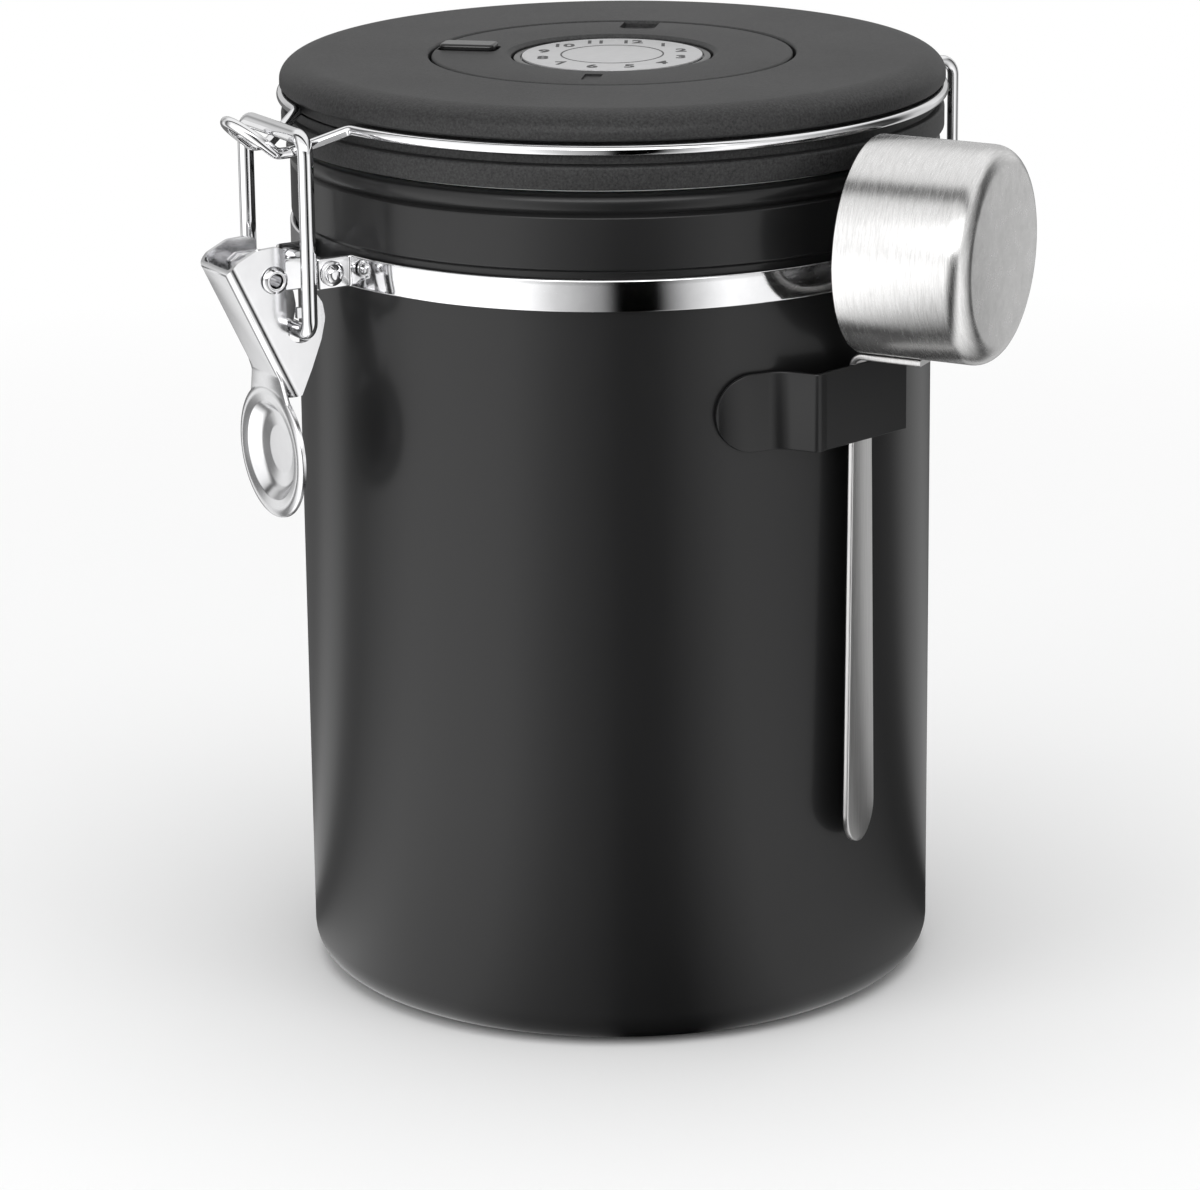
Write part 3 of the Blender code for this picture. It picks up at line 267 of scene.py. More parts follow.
# %% Lid plastic
lid_plastic = Finish("lid_plastic", (0.02, 0.02, 0.02), 0.52, **{"Specular IOR Level": 0.4})
grain = lid_plastic.noise(lid_plastic.place(), 2100.0, roughness=0.65)
cloud = lid_plastic.noise(lid_plastic.place(), 40.0)
lid_plastic.feed("Roughness", 0.44 + 0.10 * cloud + 0.06 * grain)
lid_plastic.shade(grain, (0.32, (0.004, 0.004, 0.0042)), (0.70, (0.036, 0.036, 0.0364)))
lid_plastic.bump(grain, distance=0.00007, strength=0.9)

# %% Smooth dark plastic for the hub, the thumb bar and the valve
gloss_plastic = Finish("gloss_plastic", (0.008, 0.008, 0.008), 0.16)
scuff = gloss_plastic.noise(gloss_plastic.place(), 300.0, detail=4.0)
gloss_plastic.feed("Roughness", 0.1 + 0.12 * scuff)
gloss_plastic.bump(scuff, distance=0.000008, strength=0.5)

# %% Polished steel
bright = Finish("bright_steel", (0.85, 0.85, 0.86), 0.08, metallic=1.0)
smear = bright.noise(bright.place(), 160.0, detail=4.0, roughness=0.6)
drawn = bright.noise(bright.place(scale=(1, 1, 9)), 420.0, roughness=0.6)
bright.feed("Roughness", 0.035 + 0.06 * smear + 0.03 * drawn)
bright.shade(smear, (0.25, (0.80, 0.80, 0.81)), (0.8, (0.90, 0.90, 0.91)))
bright.bump(drawn, distance=0.000004, strength=0.35)

# %% Satin steel for the stamped lever
satin = Finish("satin_steel", (0.82, 0.82, 0.83), 0.18, metallic=1.0)
haze = satin.noise(satin.place(), 120.0, detail=4.0, roughness=0.6)
rolled = satin.noise(satin.place(scale=(1, 1, 0.15)), 1500.0, roughness=0.6)
satin.feed("Roughness", 0.10 + 0.10 * haze + 0.05 * rolled)
satin.shade(haze, (0.25, (0.76, 0.76, 0.77)), (0.8, (0.87, 0.87, 0.88)))
satin.bump(rolled, distance=0.000006, strength=0.4)

# %% Brushed steel for the handle, lines along its length
brushed = Finish("brushed_handle", (0.64, 0.635, 0.63), 0.33, metallic=1.0)
lines = brushed.noise(brushed.place(scale=(1, 1, 0.02)), 3800.0, roughness=0.7)
patches = brushed.noise(brushed.place(scale=(1, 1, 0.2)), 90.0)
brushed.feed("Roughness", 0.22 + 0.16 * lines + 0.06 * patches)
brushed.shade(lines, (0.25, (0.52, 0.515, 0.51)), (0.8, (0.76, 0.755, 0.75)))
brushed.bump(lines, distance=0.00002, strength=0.5)

# %% Brushed steel for the cup: the lines run round its axis, which lies at 34 degrees
SCOOP_TURN = math.radians(34)
brushed_cup = Finish("brushed_cup", (0.76, 0.755, 0.75), 0.26, metallic=1.0)
own = brushed_cup.place(rotation=(0, 0, -SCOOP_TURN))
streaks = brushed_cup.node("ShaderNodeMapping", {}, {"Vector": own, "Scale": (1, 0.09, 0.09)})
lines = brushed_cup.noise(streaks, 3000.0, roughness=0.7)
patches = brushed_cup.noise(own, 70.0)
brushed_cup.feed("Roughness", 0.17 + 0.13 * lines + 0.05 * patches)
brushed_cup.shade(lines, (0.25, (0.64, 0.635, 0.63)), (0.8, (0.88, 0.875, 0.87)))
brushed_cup.bump(lines, distance=0.00002, strength=0.5)

# %% Silicone, the number disc and its ink
silicone = Finish("silicone", (0.62, 0.62, 0.6), 0.56, **{"Subsurface Weight": 0.1})
bloom = silicone.noise(silicone.place(), 240.0)
silicone.feed("Roughness", 0.48 + 0.16 * bloom)
disc_white = Finish("number_disc", (0.49, 0.49, 0.495), 0.34, metallic=0.25)
lustre = disc_white.noise(disc_white.place(scale=(12, 1, 1)), 500.0)
disc_white.feed("Roughness", 0.28 + 0.12 * lustre)
disc_white.shade(lustre, (0.2, (0.42, 0.42, 0.425)), (0.8, (0.56, 0.56, 0.565)))
ink = Finish("ink", (0.02, 0.02, 0.021), 0.45)
mottle = ink.noise(ink.place(), 900.0, detail=2.0)
ink.feed("Roughness", 0.38 + 0.14 * mottle)
print("finishes:", len(bpy.data.materials))

# %% [markdown]
# ## Surfaces from arrays
#
# Most pieces are turned, bent from wire or bent from strip. All three are a grid of points: a
# profile carried round an axis, or a section carried along a path. The grid is worked out as one
# array, and its faces are another. What is left is cut from prisms or joined to them.

# %% From arrays to a mesh
DOUBLES, SLIVERS = 2e-7, 1e-7


def smooth(mesh, sharp):
    """Smooth shading, with a hard edge where two faces meet at more than this many degrees."""
    mesh.shade_smooth()
    mesh.set_sharp_from_angle(angle=math.radians(sharp))


def mesh_piece(name, points, faces, finish, sharp=32):
    """Puts points in millimetres and faces into a mesh, merges doubles and turns faces outwards."""
    mesh = bpy.data.meshes.new(name)
    places = np.asarray(points, float).reshape(-1, 3) * MM
    mesh.from_pydata(places.tolist(), [], [list(face) for face in faces])
    work = bmesh.new()
    work.from_mesh(mesh)
    bmesh.ops.remove_doubles(work, verts=work.verts[:], dist=DOUBLES)
    bmesh.ops.dissolve_degenerate(work, edges=work.edges[:], dist=SLIVERS)
    bmesh.ops.recalc_face_normals(work, faces=work.faces[:])
    work.to_mesh(mesh)
    work.free()
    smooth(mesh, sharp)
    mesh.materials.append(finish.material)
    return linked(name, mesh)


def grid_faces(rows, columns, closed):
    """Quads of a grid whose rows are rings of points; closed also joins its last ring to its first."""
    row = np.arange(rows if closed else rows - 1)[:, None]
    column = np.arange(columns)[None, :]
    below, beside = (row + 1) % rows, (column + 1) % columns
    corners = [
        row * columns + column,
        row * columns + beside,
        below * columns + beside,
        below * columns + column,
    ]
    return np.stack(corners, -1).reshape(-1, 4)


def tube_faces(rows, columns):
    """Quads of an open grid of rings, and one flat face at each end."""
    last = (rows - 1) * columns
    ends = [list(range(columns)), list(range(last + columns - 1, last - 1, -1))]
    return grid_faces(rows, columns, False).tolist() + ends


print("mesh helpers ready")

# %% Points on lines and arcs


def in_front(distance, height, across=0.0):
    """Points in front of the can, by their distance from its axis."""
    distance, height, across = np.broadcast_arrays(distance, height, across)
    return np.stack([across, -distance, height], -1).astype(float)


def around(radius, angle, height):
    """Points round the can's axis: x = radius times cosine, y = radius times sine."""
    radius, angle, height = np.broadcast_arrays(radius, angle, height)
    return np.stack([radius * np.cos(angle), radius * np.sin(angle), height], -1)


def directions(angle):
    """Unit vectors outward and sideways at an angle round the can's axis."""
    cos, sin = math.cos(angle), math.sin(angle)
    return np.array((cos, sin, 0)), np.array((-sin, cos, 0))


def arc(centre, radii, start, end, steps):
    """Points in a plane from one angle in degrees to another:
    centre + (first radius times cosine, second radius times sine)."""
    angle = np.radians(np.linspace(start, end, steps + 1))
    first, second = np.broadcast_to(radii, 2)
    return np.stack([centre[0] + first * np.cos(angle), centre[1] + second * np.sin(angle)], -1)


def softened(points, radii, steps=5, closed=True):
    """Rounds a path's corners: each is an arc of its radius, laid between its two straight runs.
    With half the corner's angle, the arc starts radius / tan(half) before the corner, its centre
    lies radius / sin(half) from it, and it sweeps what half lacks to a right angle, both ways."""
    points = np.asarray(points, float)
    radii = np.broadcast_to(np.asarray(radii, float), len(points))
    share_of_run, tiny, nearly_straight = 0.49, 1e-6, math.pi / 2 - 0.01
    rounded = []
    for index, (corner, radius) in enumerate(zip(points, radii)):
        ends = not closed and index in (0, len(points) - 1)
        back = points[index - 1] - corner
        onward = points[(index + 1) % len(points)] - corner
        reach = min(np.linalg.norm(back), np.linalg.norm(onward))
        if ends or radius <= 0 or reach < tiny:
            rounded.append(corner[None])
            continue
        back, onward = back / np.linalg.norm(back), onward / np.linalg.norm(onward)
        half = math.acos(np.clip(back @ onward, -1, 1)) / 2
        if half > nearly_straight:
            rounded.append(corner[None])
            continue
        run = min(radius / math.tan(half), reach * share_of_run)
        radius = run * math.tan(half)
        middle = (back + onward) / np.linalg.norm(back + onward)
        centre = corner + middle * radius / math.sin(half)
        sweep = math.pi / 2 - half
        angle = np.linspace(-sweep, sweep, steps + 1)[:, None]
        side = (onward - back) / np.linalg.norm(onward - back)
        rounded.append(centre - middle * radius * np.cos(angle) + side * radius * np.sin(angle))
    return np.concatenate(rounded)


def spread(path, gap):
    """The same path with points no further apart than the gap."""
    length = np.r_[0, np.cumsum(np.linalg.norm(np.diff(path, axis=0), axis=1))]
    keep = np.r_[True, np.diff(length) > 1e-6]
    path, length = path[keep], length[keep]
    extra = [np.linspace(a, b, max(2, int((b - a) / gap) + 2))[:-1] for a, b in zip(length, length[1:])]
    at = np.r_[np.concatenate(extra), length[-1]]
    return np.stack([np.interp(at, length, path[:, axis]) for axis in (X, Y, Z)], -1)


def tangents(path):
    """Unit vectors along a path, each from its point's neighbours."""
    along = np.gradient(path, axis=0)
    return along / np.linalg.norm(along, axis=1, keepdims=True)


print("path helpers ready")

# %% Turned, wire, strip and prism


def turned(name, profile, finish, steps=192):
    """A closed profile of (radius, height) carried round the upright axis."""
    radius, height = np.asarray(profile, float).T[:, :, None]
    angle = np.linspace(0, math.tau, steps, endpoint=False)
    return mesh_piece(name, around(radius, angle, height), grid_faces(len(profile), steps, True), finish)


def wire_piece(name, path, radius, finish, sides):
    """A round wire with flat ends: path + radius times (side times cosine + upright times sine).
    The side vector turns from point to point as little as it can."""
    tangent = tangents(path)
    side = np.zeros_like(path)
    slanted = (0.3, 0.2, 0.93)
    seed = np.cross(tangent[0], slanted)
    for index, along in enumerate(tangent):
        seed = seed - along * (seed @ along)
        seed = seed / np.linalg.norm(seed)
        side[index] = seed
    upright = np.cross(tangent, side)
    angle = np.linspace(0, math.tau, sides, endpoint=False)[:, None]
    circle = side[:, None] * np.cos(angle) + upright[:, None] * np.sin(angle)
    return mesh_piece(name, path[:, None] + circle * radius, tube_faces(len(path), sides), finish, 50)


def strip_piece(name, path, across, half_widths, wall, edge, finish):
    """A bent strip: a rectangle with edges rounded to a radius, carried along the path. Its width
    lies along `across`, and its wall along the cross product of the path's tangent and `across`."""
    across = np.broadcast_to(np.asarray(across, float), path.shape)
    normal = np.cross(tangents(path), across)
    normal /= np.linalg.norm(normal, axis=1, keepdims=True)
    corners, corner_points = [(1, 1), (-1, 1), (-1, -1), (1, -1)], 4
    sign = np.repeat(corners, corner_points, axis=0)
    quarters = np.arange(len(corners))[:, None] * math.pi / 2
    angle = (np.linspace(0, math.pi / 2, corner_points) + quarters).ravel()
    widths = np.broadcast_to(half_widths, len(path))[:, None]
    wide = sign[:, 0] * (widths - edge) + np.cos(angle) * edge
    thick = sign[:, 1] * (wall / 2 - edge) + np.sin(angle) * edge
    points = path[:, None] + across[:, None] * wide[..., None] + normal[:, None] * thick[:, None]
    return mesh_piece(name, points, tube_faces(len(path), len(angle)), finish)


def prism(name, outline, direction, finish):
    """A flat closed outline of points pushed along a direction."""
    outline = np.asarray(outline, float)
    points = np.stack([outline, outline + np.asarray(direction, float)])
    return mesh_piece(name, points, tube_faces(2, len(outline)), finish)


print("piece helpers ready")

# %% Cutting, placing and settling


def combine(piece, tool, operation):
    """Cuts the piece with a closed tool, or joins the tool to it, and keeps the plain result."""
    modifier = piece.modifiers.new(operation, "BOOLEAN")
    modifier.operation, modifier.object = operation, tool
    graph = bpy.context.evaluated_depsgraph_get()
    result = bpy.data.meshes.new_from_object(piece.evaluated_get(graph))
    piece.modifiers.clear()
    piece.data = result
    bpy.data.objects.remove(tool, do_unlink=True)


def drill(piece, centre, radius, reach, steps):
    """Bores a round hole along X through a piece, at a distance in front and a height."""
    circle = arc(centre, radius, 0, 360, steps)[:-1]
    tool = prism("drill", in_front(circle[:, 0], circle[:, 1], -reach), (2 * reach, 0, 0), bright)
    combine(piece, tool, "DIFFERENCE")


def put(piece, place, turning):
    """Turns a piece's mesh about the frame's origin, then moves it to a place in millimetres."""
    piece.data.transform(Matrix.Translation(Vector(place) * MM) @ turning)
    return piece


def soft_edges(piece, width, segments, angle):
    """A live bevel, in millimetres, on edges sharper than an angle in degrees."""
    bevel = piece.modifiers.new("soft_edges", "BEVEL")
    bevel.width, bevel.segments = width * MM, segments
    bevel.limit_method, bevel.angle_limit = "ANGLE", math.radians(angle)


def settle(piece, body, slot, *nodes):
    """The piece rides on a body and stands for its solids, if it has any. Its slot is not used."""
    if nodes:
        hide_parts(*nodes)
    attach(piece, body)
    print(piece.name, len(piece.data.polygons), "faces")


ALONG_X = Matrix.Rotation(math.pi / 2, 4, "Y")
ALONG_Y = Matrix.Rotation(-math.pi / 2, 4, "X")
print("workshop ready")

# %% [markdown]
# ## The can
#
# The can is one deep-drawn sheet: a rounded foot, a straight wall, a collar a little wider than
# the wall, a groove and a rolled bead. A cylinder with a Solidify modifier would be quicker, but
# the bead is thicker than the sheet and the collar is drawn out over a plain inside, so it is one
# turned profile that runs up the outside, over the bead and down the inside.

# %% Can
CAN_R, WALL = 62.0, 0.8
COLLAR_R, COLLAR_LOW, COLLAR_TOP = CAN_R + 0.8, 151.9, 162.0
BEAD_Z, BEAD_R = 164.8, 1.9
bead = arc((CAN_R - 0.4, BEAD_Z), BEAD_R, -50, 215, 16)
outer = [(0, 0), (CAN_R, 0), (CAN_R, COLLAR_LOW), (COLLAR_R, COLLAR_LOW + 0.5), (COLLAR_R, COLLAR_TOP),
         (CAN_R + 0.1, COLLAR_TOP + 0.65)]
outer = softened(outer, (0, 6.0, 0.8, 0.6, 0.5, 0), 8, closed=False)
inner = [(CAN_R - WALL, COLLAR_TOP + 0.5), (CAN_R - WALL, 1.0), (0, 1.0)]
inner = softened(inner, (0, 5.2, 0), 8, closed=False)
vessel = turned("vessel_shell", np.concatenate([outer, bead, inner]), coat, 256)
settle(vessel, "can", "black_coat", "vessel")

# %% [markdown]
# ## The strap, its ears and its rivets
#
# A bright strip goes round the can under the collar. Its two ends turn square outward as ears,
# step inward and carry the lever's pivot. One sheet is bent into all of this, so it is modelled as
# one strip along one path, with a width that narrows at the ears' ends. The rivets are turned,
# then laid across.

# %% Strap
STRAP_R, STRAP_WALL, EAR_APART = 62.7, 0.8, 7.9
STRAP_Z, STRAP_HALF = middle_of("strap_band", Z), half_of("strap_band", Z)
LEVER_PIVOT, SPACER_OUT, BORE_R, RIVET_R = pivot("lever_swing"), 66.6, 2.2, 1.5
EAR_END, EAR_TAPER, TIP_HALF = 81.1, 1.8, 1.68
RING_POINTS = 200
fold = math.asin(EAR_APART / STRAP_R)
ring = np.linspace(fold - math.pi / 2, math.tau - math.pi / 2 - fold, RING_POINTS)
ring = around(STRAP_R, ring, STRAP_Z)
ear = in_front([EAR_END, 79.4, 71.0, 69.4], STRAP_Z, [4.8, 4.8, 4.8, EAR_APART])
bends = np.r_[0, 0, 1.0, 1.0, 0.9, np.zeros(RING_POINTS - 2), 0.9, 1.0, 1.0, 0, 0]
path = np.concatenate([ear, ring, ear[::-1] * (-1, 1, 1)])
path = softened(path, bends, 5, closed=False)
before_end = EAR_END + path[:, Y]
taper = TIP_HALF + before_end / EAR_TAPER * (STRAP_HALF - TIP_HALF)
halves = np.where(before_end < EAR_TAPER, taper, STRAP_HALF)
strap = strip_piece("strap", path, (0, 0, 1), halves, STRAP_WALL, 0.35, bright)
drill(strap, LEVER_PIVOT, BORE_R, 12, 32)
drill(strap, (SPACER_OUT, STRAP_Z), RIVET_R, 12, 32)
smooth(strap.data, 32)
settle(strap, "can", "bright_steel", "strap_band")

# %% Rivets through the ears


def both_ways(half):
    """A profile made whole: one half, and the same half upside down."""
    return np.concatenate([half, (half * (1, -1))[::-1]])


spacer_place = (0, -SPACER_OUT, STRAP_Z)
spacer_half = half_of("strap_spacer", X)
head = [(0, 10.3), (1.0, 10.2), (1.75, 9.6), (1.8, 9.05), (2.4, 9.0), (2.4, 8.6), (1.2, 8.6)]
head = softened(head, (0, 0.8, 0.6, 0.1, 0.15, 0.1, 0), 3, closed=False)
rivet = put(turned("strap_rivet_bright", both_ways(head), bright, 48), spacer_place, ALONG_X)
settle(rivet, "can", "bright_steel", "strap_rivet")
sleeve = [(RIVET_R, -spacer_half), (2.1, -spacer_half), (2.1, spacer_half), (RIVET_R, spacer_half)]
sleeve = softened(sleeve, 0.12, 2)
sleeve = put(turned("strap_spacer_bright", sleeve, bright, 40), spacer_place, ALONG_X)
settle(sleeve, "can", "bright_steel", "strap_spacer")
rolled_end = [(1.25, 0), (1.25, 7.0), (1.45, 7.62), (1.95, 7.7), (2.45, 7.35), (2.6, 6.95), (2.6, 6.8),
              (1.9, 6.8)]
rolled_end = softened(rolled_end, (0, 0.2, 0.15, 0.3, 0.2, 0.08, 0.05, 0), 3, closed=False)[1:]
tube = turned("lever_rivet_bright", both_ways(rolled_end), bright, 48)
settle(put(tube, in_front(*LEVER_PIVOT), ALONG_X), "can", "bright_steel", "lever_rivet")

# %% [markdown]
# ## The lever
#
# The lever is stamped from sheet: two flat side plates, a back that is rounded where it turns
# into them, and a round dished pad for the thumb. The plates' side view is written in shares of
# the lever's length, measured from its pivot. Bending a sheet in mesh code would leave the slanted
# back and the plates to be stitched together. A block of that side view, trimmed by a rounded
# bar and hollowed by a smaller one, has the same wall everywhere at once. It is then joined to
# the pad, slotted for the link and bored for the rivet.

# %% Lever channel
LONG, LEVER_HALF, LEVER_WALL = 29.0, 6.5, 1.0
low_end = np.array([(-0.179, -0.786), (-0.093, -0.800)])
top_end = np.array([(0.328, 0.066), (0.262, 0.138), (0.120, 0.207), (-0.030, 0.214), (-0.093, 0.186)])
can_side = np.array([(-0.300, -0.120), (-0.345, -0.190), (-0.362, -0.290), (-0.330, -0.430),
                     (-0.255, -0.620)])
side_bends = (0.2, 0.2, 1.2, 2.5, 3.5, 2.0, 1.5, 1.5, 2.0, 3.0, 6.0, 12.0)
side_view = LEVER_PIVOT + LONG * np.concatenate([low_end, top_end, can_side])
side_view = softened(side_view, side_bends, 6)
side_view = in_front(side_view[:, 0], side_view[:, 1], -LEVER_HALF)
block = prism("lever_shell", side_view, (2 * LEVER_HALF, 0, 0), satin)
top, low = LEVER_PIVOT + LONG * top_end[0], LEVER_PIVOT + LONG * low_end[1]
down = (low - top) / np.linalg.norm(low - top)
inward = np.array((down[1], -down[0]))


def bar_along_back(half_width, setback, corner):
    """A bar along the lever's back: its section is a rectangle with two rounded corners."""
    depth, before, length = 40, 12, 60
    section = [(-half_width, setback), (half_width, setback), (half_width, depth), (-half_width, depth)]
    section = softened(section, (corner, corner, 0, 0), 8)
    start = top - down * before + section[:, 1:] * inward
    return prism("bar", in_front(start[:, 0], start[:, 1], section[:, 0]), in_front(*(down * length)), bright)


combine(block, bar_along_back(LEVER_HALF, 0.0, 2.0), "INTERSECT")
combine(block, bar_along_back(LEVER_HALF - LEVER_WALL, LEVER_WALL, 1.0), "DIFFERENCE")
print("lever channel", len(block.data.polygons), "faces")

# %% Thumb pad: a dish inside a broad rounded rim, and the neck that joins it to the back
PAD_R = 13.0
pad_out, pad_high = low[0] + 0.5, low[1] + 1.8 - PAD_R
front_face = [(PAD_R, -0.1), (12.9, 0.7), (11.6, 1.15), (9.5, 0.75), (7.6, -1.0), (4.6, -1.45), (0, -1.5)]
front_face = softened(front_face, (0.3, 0.5, 3.0, 0.5, 2.5, 1.5, 0), 7, closed=False)
back_face = [(0, -2.4), (4.9, -2.35), (8.0, -1.9), (10.0, -0.2), (11.8, 0.2), (12.6, -0.35)]
back_face = softened(back_face, (0, 1.5, 1.5, 0.8, 0.8, 0.2), 7, closed=False)
pad = turned("thumb_pad", np.concatenate([back_face, front_face]), satin, 96)
put(pad, in_front(pad_out, pad_high), Matrix.Rotation(math.pi / 2 + 0.02, 4, "X"))
neck_heights = np.array([131.5, 127.8, 124.6, 121.9])
on_back = low[0] + (neck_heights[:2] - low[1]) * (top[0] - low[0]) / (top[1] - low[1])
neck_out = [on_back[0] - 0.75, on_back[1] - 0.45, pad_out + 0.6, pad_out + 0.35]
neck_path = softened(in_front(neck_out, neck_heights), (0, 4.0, 2.0, 0), 6, closed=False)
neck_path = spread(neck_path, 0.4)
flare = np.interp(neck_path[:, Z], [121.9, 124.0, 127.5, 131.5], [8.2, 7.3, 6.1, 5.2])
combine(block, strip_piece("neck", neck_path, (1, 0, 0), flare, 0.9, 0.3, satin), "UNION")
combine(block, pad, "UNION")
print("with its pad", len(block.data.polygons), "faces")

# %% Slot for the link, bore for the rivet, soft edges
LINK_OUT, LINK_LOW = pivot("link_swing")
SLOT_OUT, SLOT_R, PAST_TOP, PAST_SIDE = LINK_OUT - 1.2, 3.0, 160.0, 9
inner_side, outer_side = SLOT_OUT - SLOT_R, SLOT_OUT + SLOT_R
bottom = arc((SLOT_OUT, LINK_LOW), SLOT_R, 180, 360, 16)[:-1]
tooth = [(inner_side, 141.3), (73.05, 141.3), (73.05, 139.3), (inner_side, 139.3)]
slot = [*bottom, (outer_side, LINK_LOW), (outer_side, PAST_TOP), (inner_side, PAST_TOP), *tooth]
slot_distance, slot_height = np.array(slot).T
slot = in_front(slot_distance, slot_height, -PAST_SIDE)
combine(block, prism("slot", slot, (2 * PAST_SIDE, 0, 0), bright), "DIFFERENCE")
drill(block, LEVER_PIVOT, BORE_R, PAST_SIDE, 40)
soft_edges(block, 0.18, 2, 40)
smooth(block.data, 50)
settle(block, "lever", "bright_steel", "latch_lever")

# %% [markdown]
# ## The wires
#
# The link is a rectangle of wire with its ends bent into the lever's slots. The lid's wire starts
# in the hinge, climbs the back of the can, lies in the lid's groove and runs out in front as a
# nose. Both are circles carried along a path with rounded corners: a curve with a bevel would look
# alike, but here the bends get the radii of the wire bender's tool.

# %% Link
BAR_Z, LINK_WIRE, LINK_HALF, LINK_END = 174.5, 1.5, 12.3, 3.6
heights = [LINK_LOW, LINK_LOW, BAR_Z, BAR_Z, LINK_LOW, LINK_LOW]
corners = in_front(LINK_OUT, heights, [LINK_END, LINK_HALF, LINK_HALF, -LINK_HALF, -LINK_HALF, -LINK_END])
link_path = spread(softened(corners, (0, 2.6, 3.0, 3.0, 2.6, 0), 12, closed=False), 0.8)
settle(wire_piece("link_wire", link_path, LINK_WIRE, bright, 32), "link", "bright_steel", "latch_link")

# %% Lid wire
# The nose passes under the link's bar. Its tip is a half circle, tilted up by a steady slope.
RING_R, RING_Z, RING_WIRE, LEG_X, NOSE_X = 64.0, 174.9, 1.1, 12.5, 5.0
HINGE_BACK, HINGE_Z = -pivot("lid_hinge")[0], pivot("lid_hinge")[1]
saddle = BAR_Z - LINK_WIRE - RING_WIRE - 0.3 - (math.hypot(4.25, 9.7) - 9.7)
back_angle, front_angle = math.acos(LEG_X / RING_R), -math.acos(11.0 / RING_R)
legs = np.array([(2.0, HINGE_BACK, HINGE_Z), (LEG_X, HINGE_BACK, HINGE_Z), (LEG_X, HINGE_BACK, RING_Z)])
sweep = np.linspace(back_angle - 0.094, front_angle + 0.075, 90)
circle = around(RING_R, np.r_[back_angle, sweep, front_angle], RING_Z)
climb_start, tip_centre = LINK_OUT + 2.2, LINK_OUT + 4.4
slope = (176.6 - saddle) / (tip_centre + NOSE_X - climb_start)
nose = in_front([LINK_OUT - 1.1, climb_start], saddle, NOSE_X)
tip_across, tip_out = arc((0, tip_centre), NOSE_X, 0, 90, 14).T
tip = in_front(tip_out, saddle + slope * (tip_out - climb_start), tip_across)
bends = np.r_[0, 3.0, 3.0, 1.5, 0, np.zeros(89), 2.4, 2.4, 2.4, np.zeros(15)]
half_path = softened(np.concatenate([legs, circle, nose, tip]), bends, 8, closed=False)
other_half = (half_path[:-1] * (-1, 1, 1))[::-1]
ring_path = spread(np.concatenate([half_path, other_half]), 1.6)
settle(wire_piece("lid_wire", ring_path, RING_WIRE, bright, 28), "lid", "bright_steel", "lid_ring")

# %% [markdown]
# ## The hinge bracket
#
# Behind the can a small plate is riveted to the strap, and its lower edge curls round the two
# ends of the lid's wire. In side view it is a line with a curl at its end, so it is a strip whose
# width lies across the can.

# %% Hinge bracket
CURL_R, PLATE_BACK = 1.8, 63.8
PLATE_TOP, CURL_LOW = end_of("hinge_bracket", HIGH, Z), HINGE_Z - CURL_R
curl = arc((HINGE_BACK, HINGE_Z), CURL_R, -90, 205, 27)
plate = [(PLATE_BACK, PLATE_TOP), (PLATE_BACK, HINGE_Z), (64.4, 146.35), (65.6, CURL_LOW), (70.5, CURL_LOW)]
plate = softened(plate, (0, 1.2, 1.0, 1.0, 0), 5, closed=False)
back, height = np.concatenate([plate, curl]).T
bracket_path = in_front(-back, height)
half_width = half_of("hinge_bracket", X)
bracket = strip_piece("hinge_bracket_bright", bracket_path, (1, 0, 0), half_width, STRAP_WALL, 0.2, bright)
settle(bracket, "can", "bright_steel", "hinge_bracket")
for node in ("hinge_rivet_left", "hinge_rivet_right"):
    stud = [(0, 62.5), (1.0, 62.5), (1.0, 64.5), (1.8, 64.5), (1.8, 64.7), (1.45, 65.05), (0.8, 65.18),
            (0, 65.2)]
    stud = turned(node + "_bright", stud, bright, 32)
    put(stud, (middle_of(node, X), 0, middle_of(node, Z)), ALONG_Y)
    settle(stud, "can", "bright_steel", node)

# %% [markdown]
# ## The lid
#
# The lid is two mouldings with a groove between them for the wire, and a soft ring beneath that
# seals on the can's bead. The upper one has a broad rounded shoulder and a round seat for the dial.
# All three are round, so each is one profile, with every corner softened by its own radius.

# %% Lower moulding
PLUG_R, PLUG_LOW, VALVE_HOLE = 54.0, end_of("lid_base", LOW, Z), 11.3
FLANGE_R, FLANGE_LOW, FLANGE_TOP = end_of("lid_base", HIGH, X), 167.4, 172.0
GROOVE_R, INNER_R, GROOVE_Z = 62.6, 61.1, end_of("lid_base", HIGH, Z)
base = [(VALVE_HOLE, PLUG_LOW), (PLUG_R, PLUG_LOW), (PLUG_R, 168.5), (63.2, 168.5), (63.2, FLANGE_LOW),
        (FLANGE_R, FLANGE_LOW), (FLANGE_R, FLANGE_TOP), (GROOVE_R, FLANGE_TOP), (GROOVE_R, GROOVE_Z),
        (INNER_R, GROOVE_Z), (INNER_R, 170.0), (52.6, 170.0), (52.6, 164.4), (VALVE_HOLE, 164.4)]
base = softened(base, (0.3, 1.2, 0.4, 0.3, 0.2, 0.5, 0.7, 0.3, 0.2, 0.2, 0.5, 0.5, 0.8, 0.3), 4)
settle(turned("lid_lower", base, lid_plastic, 256), "lid", "lid_plastic", "lid_base")

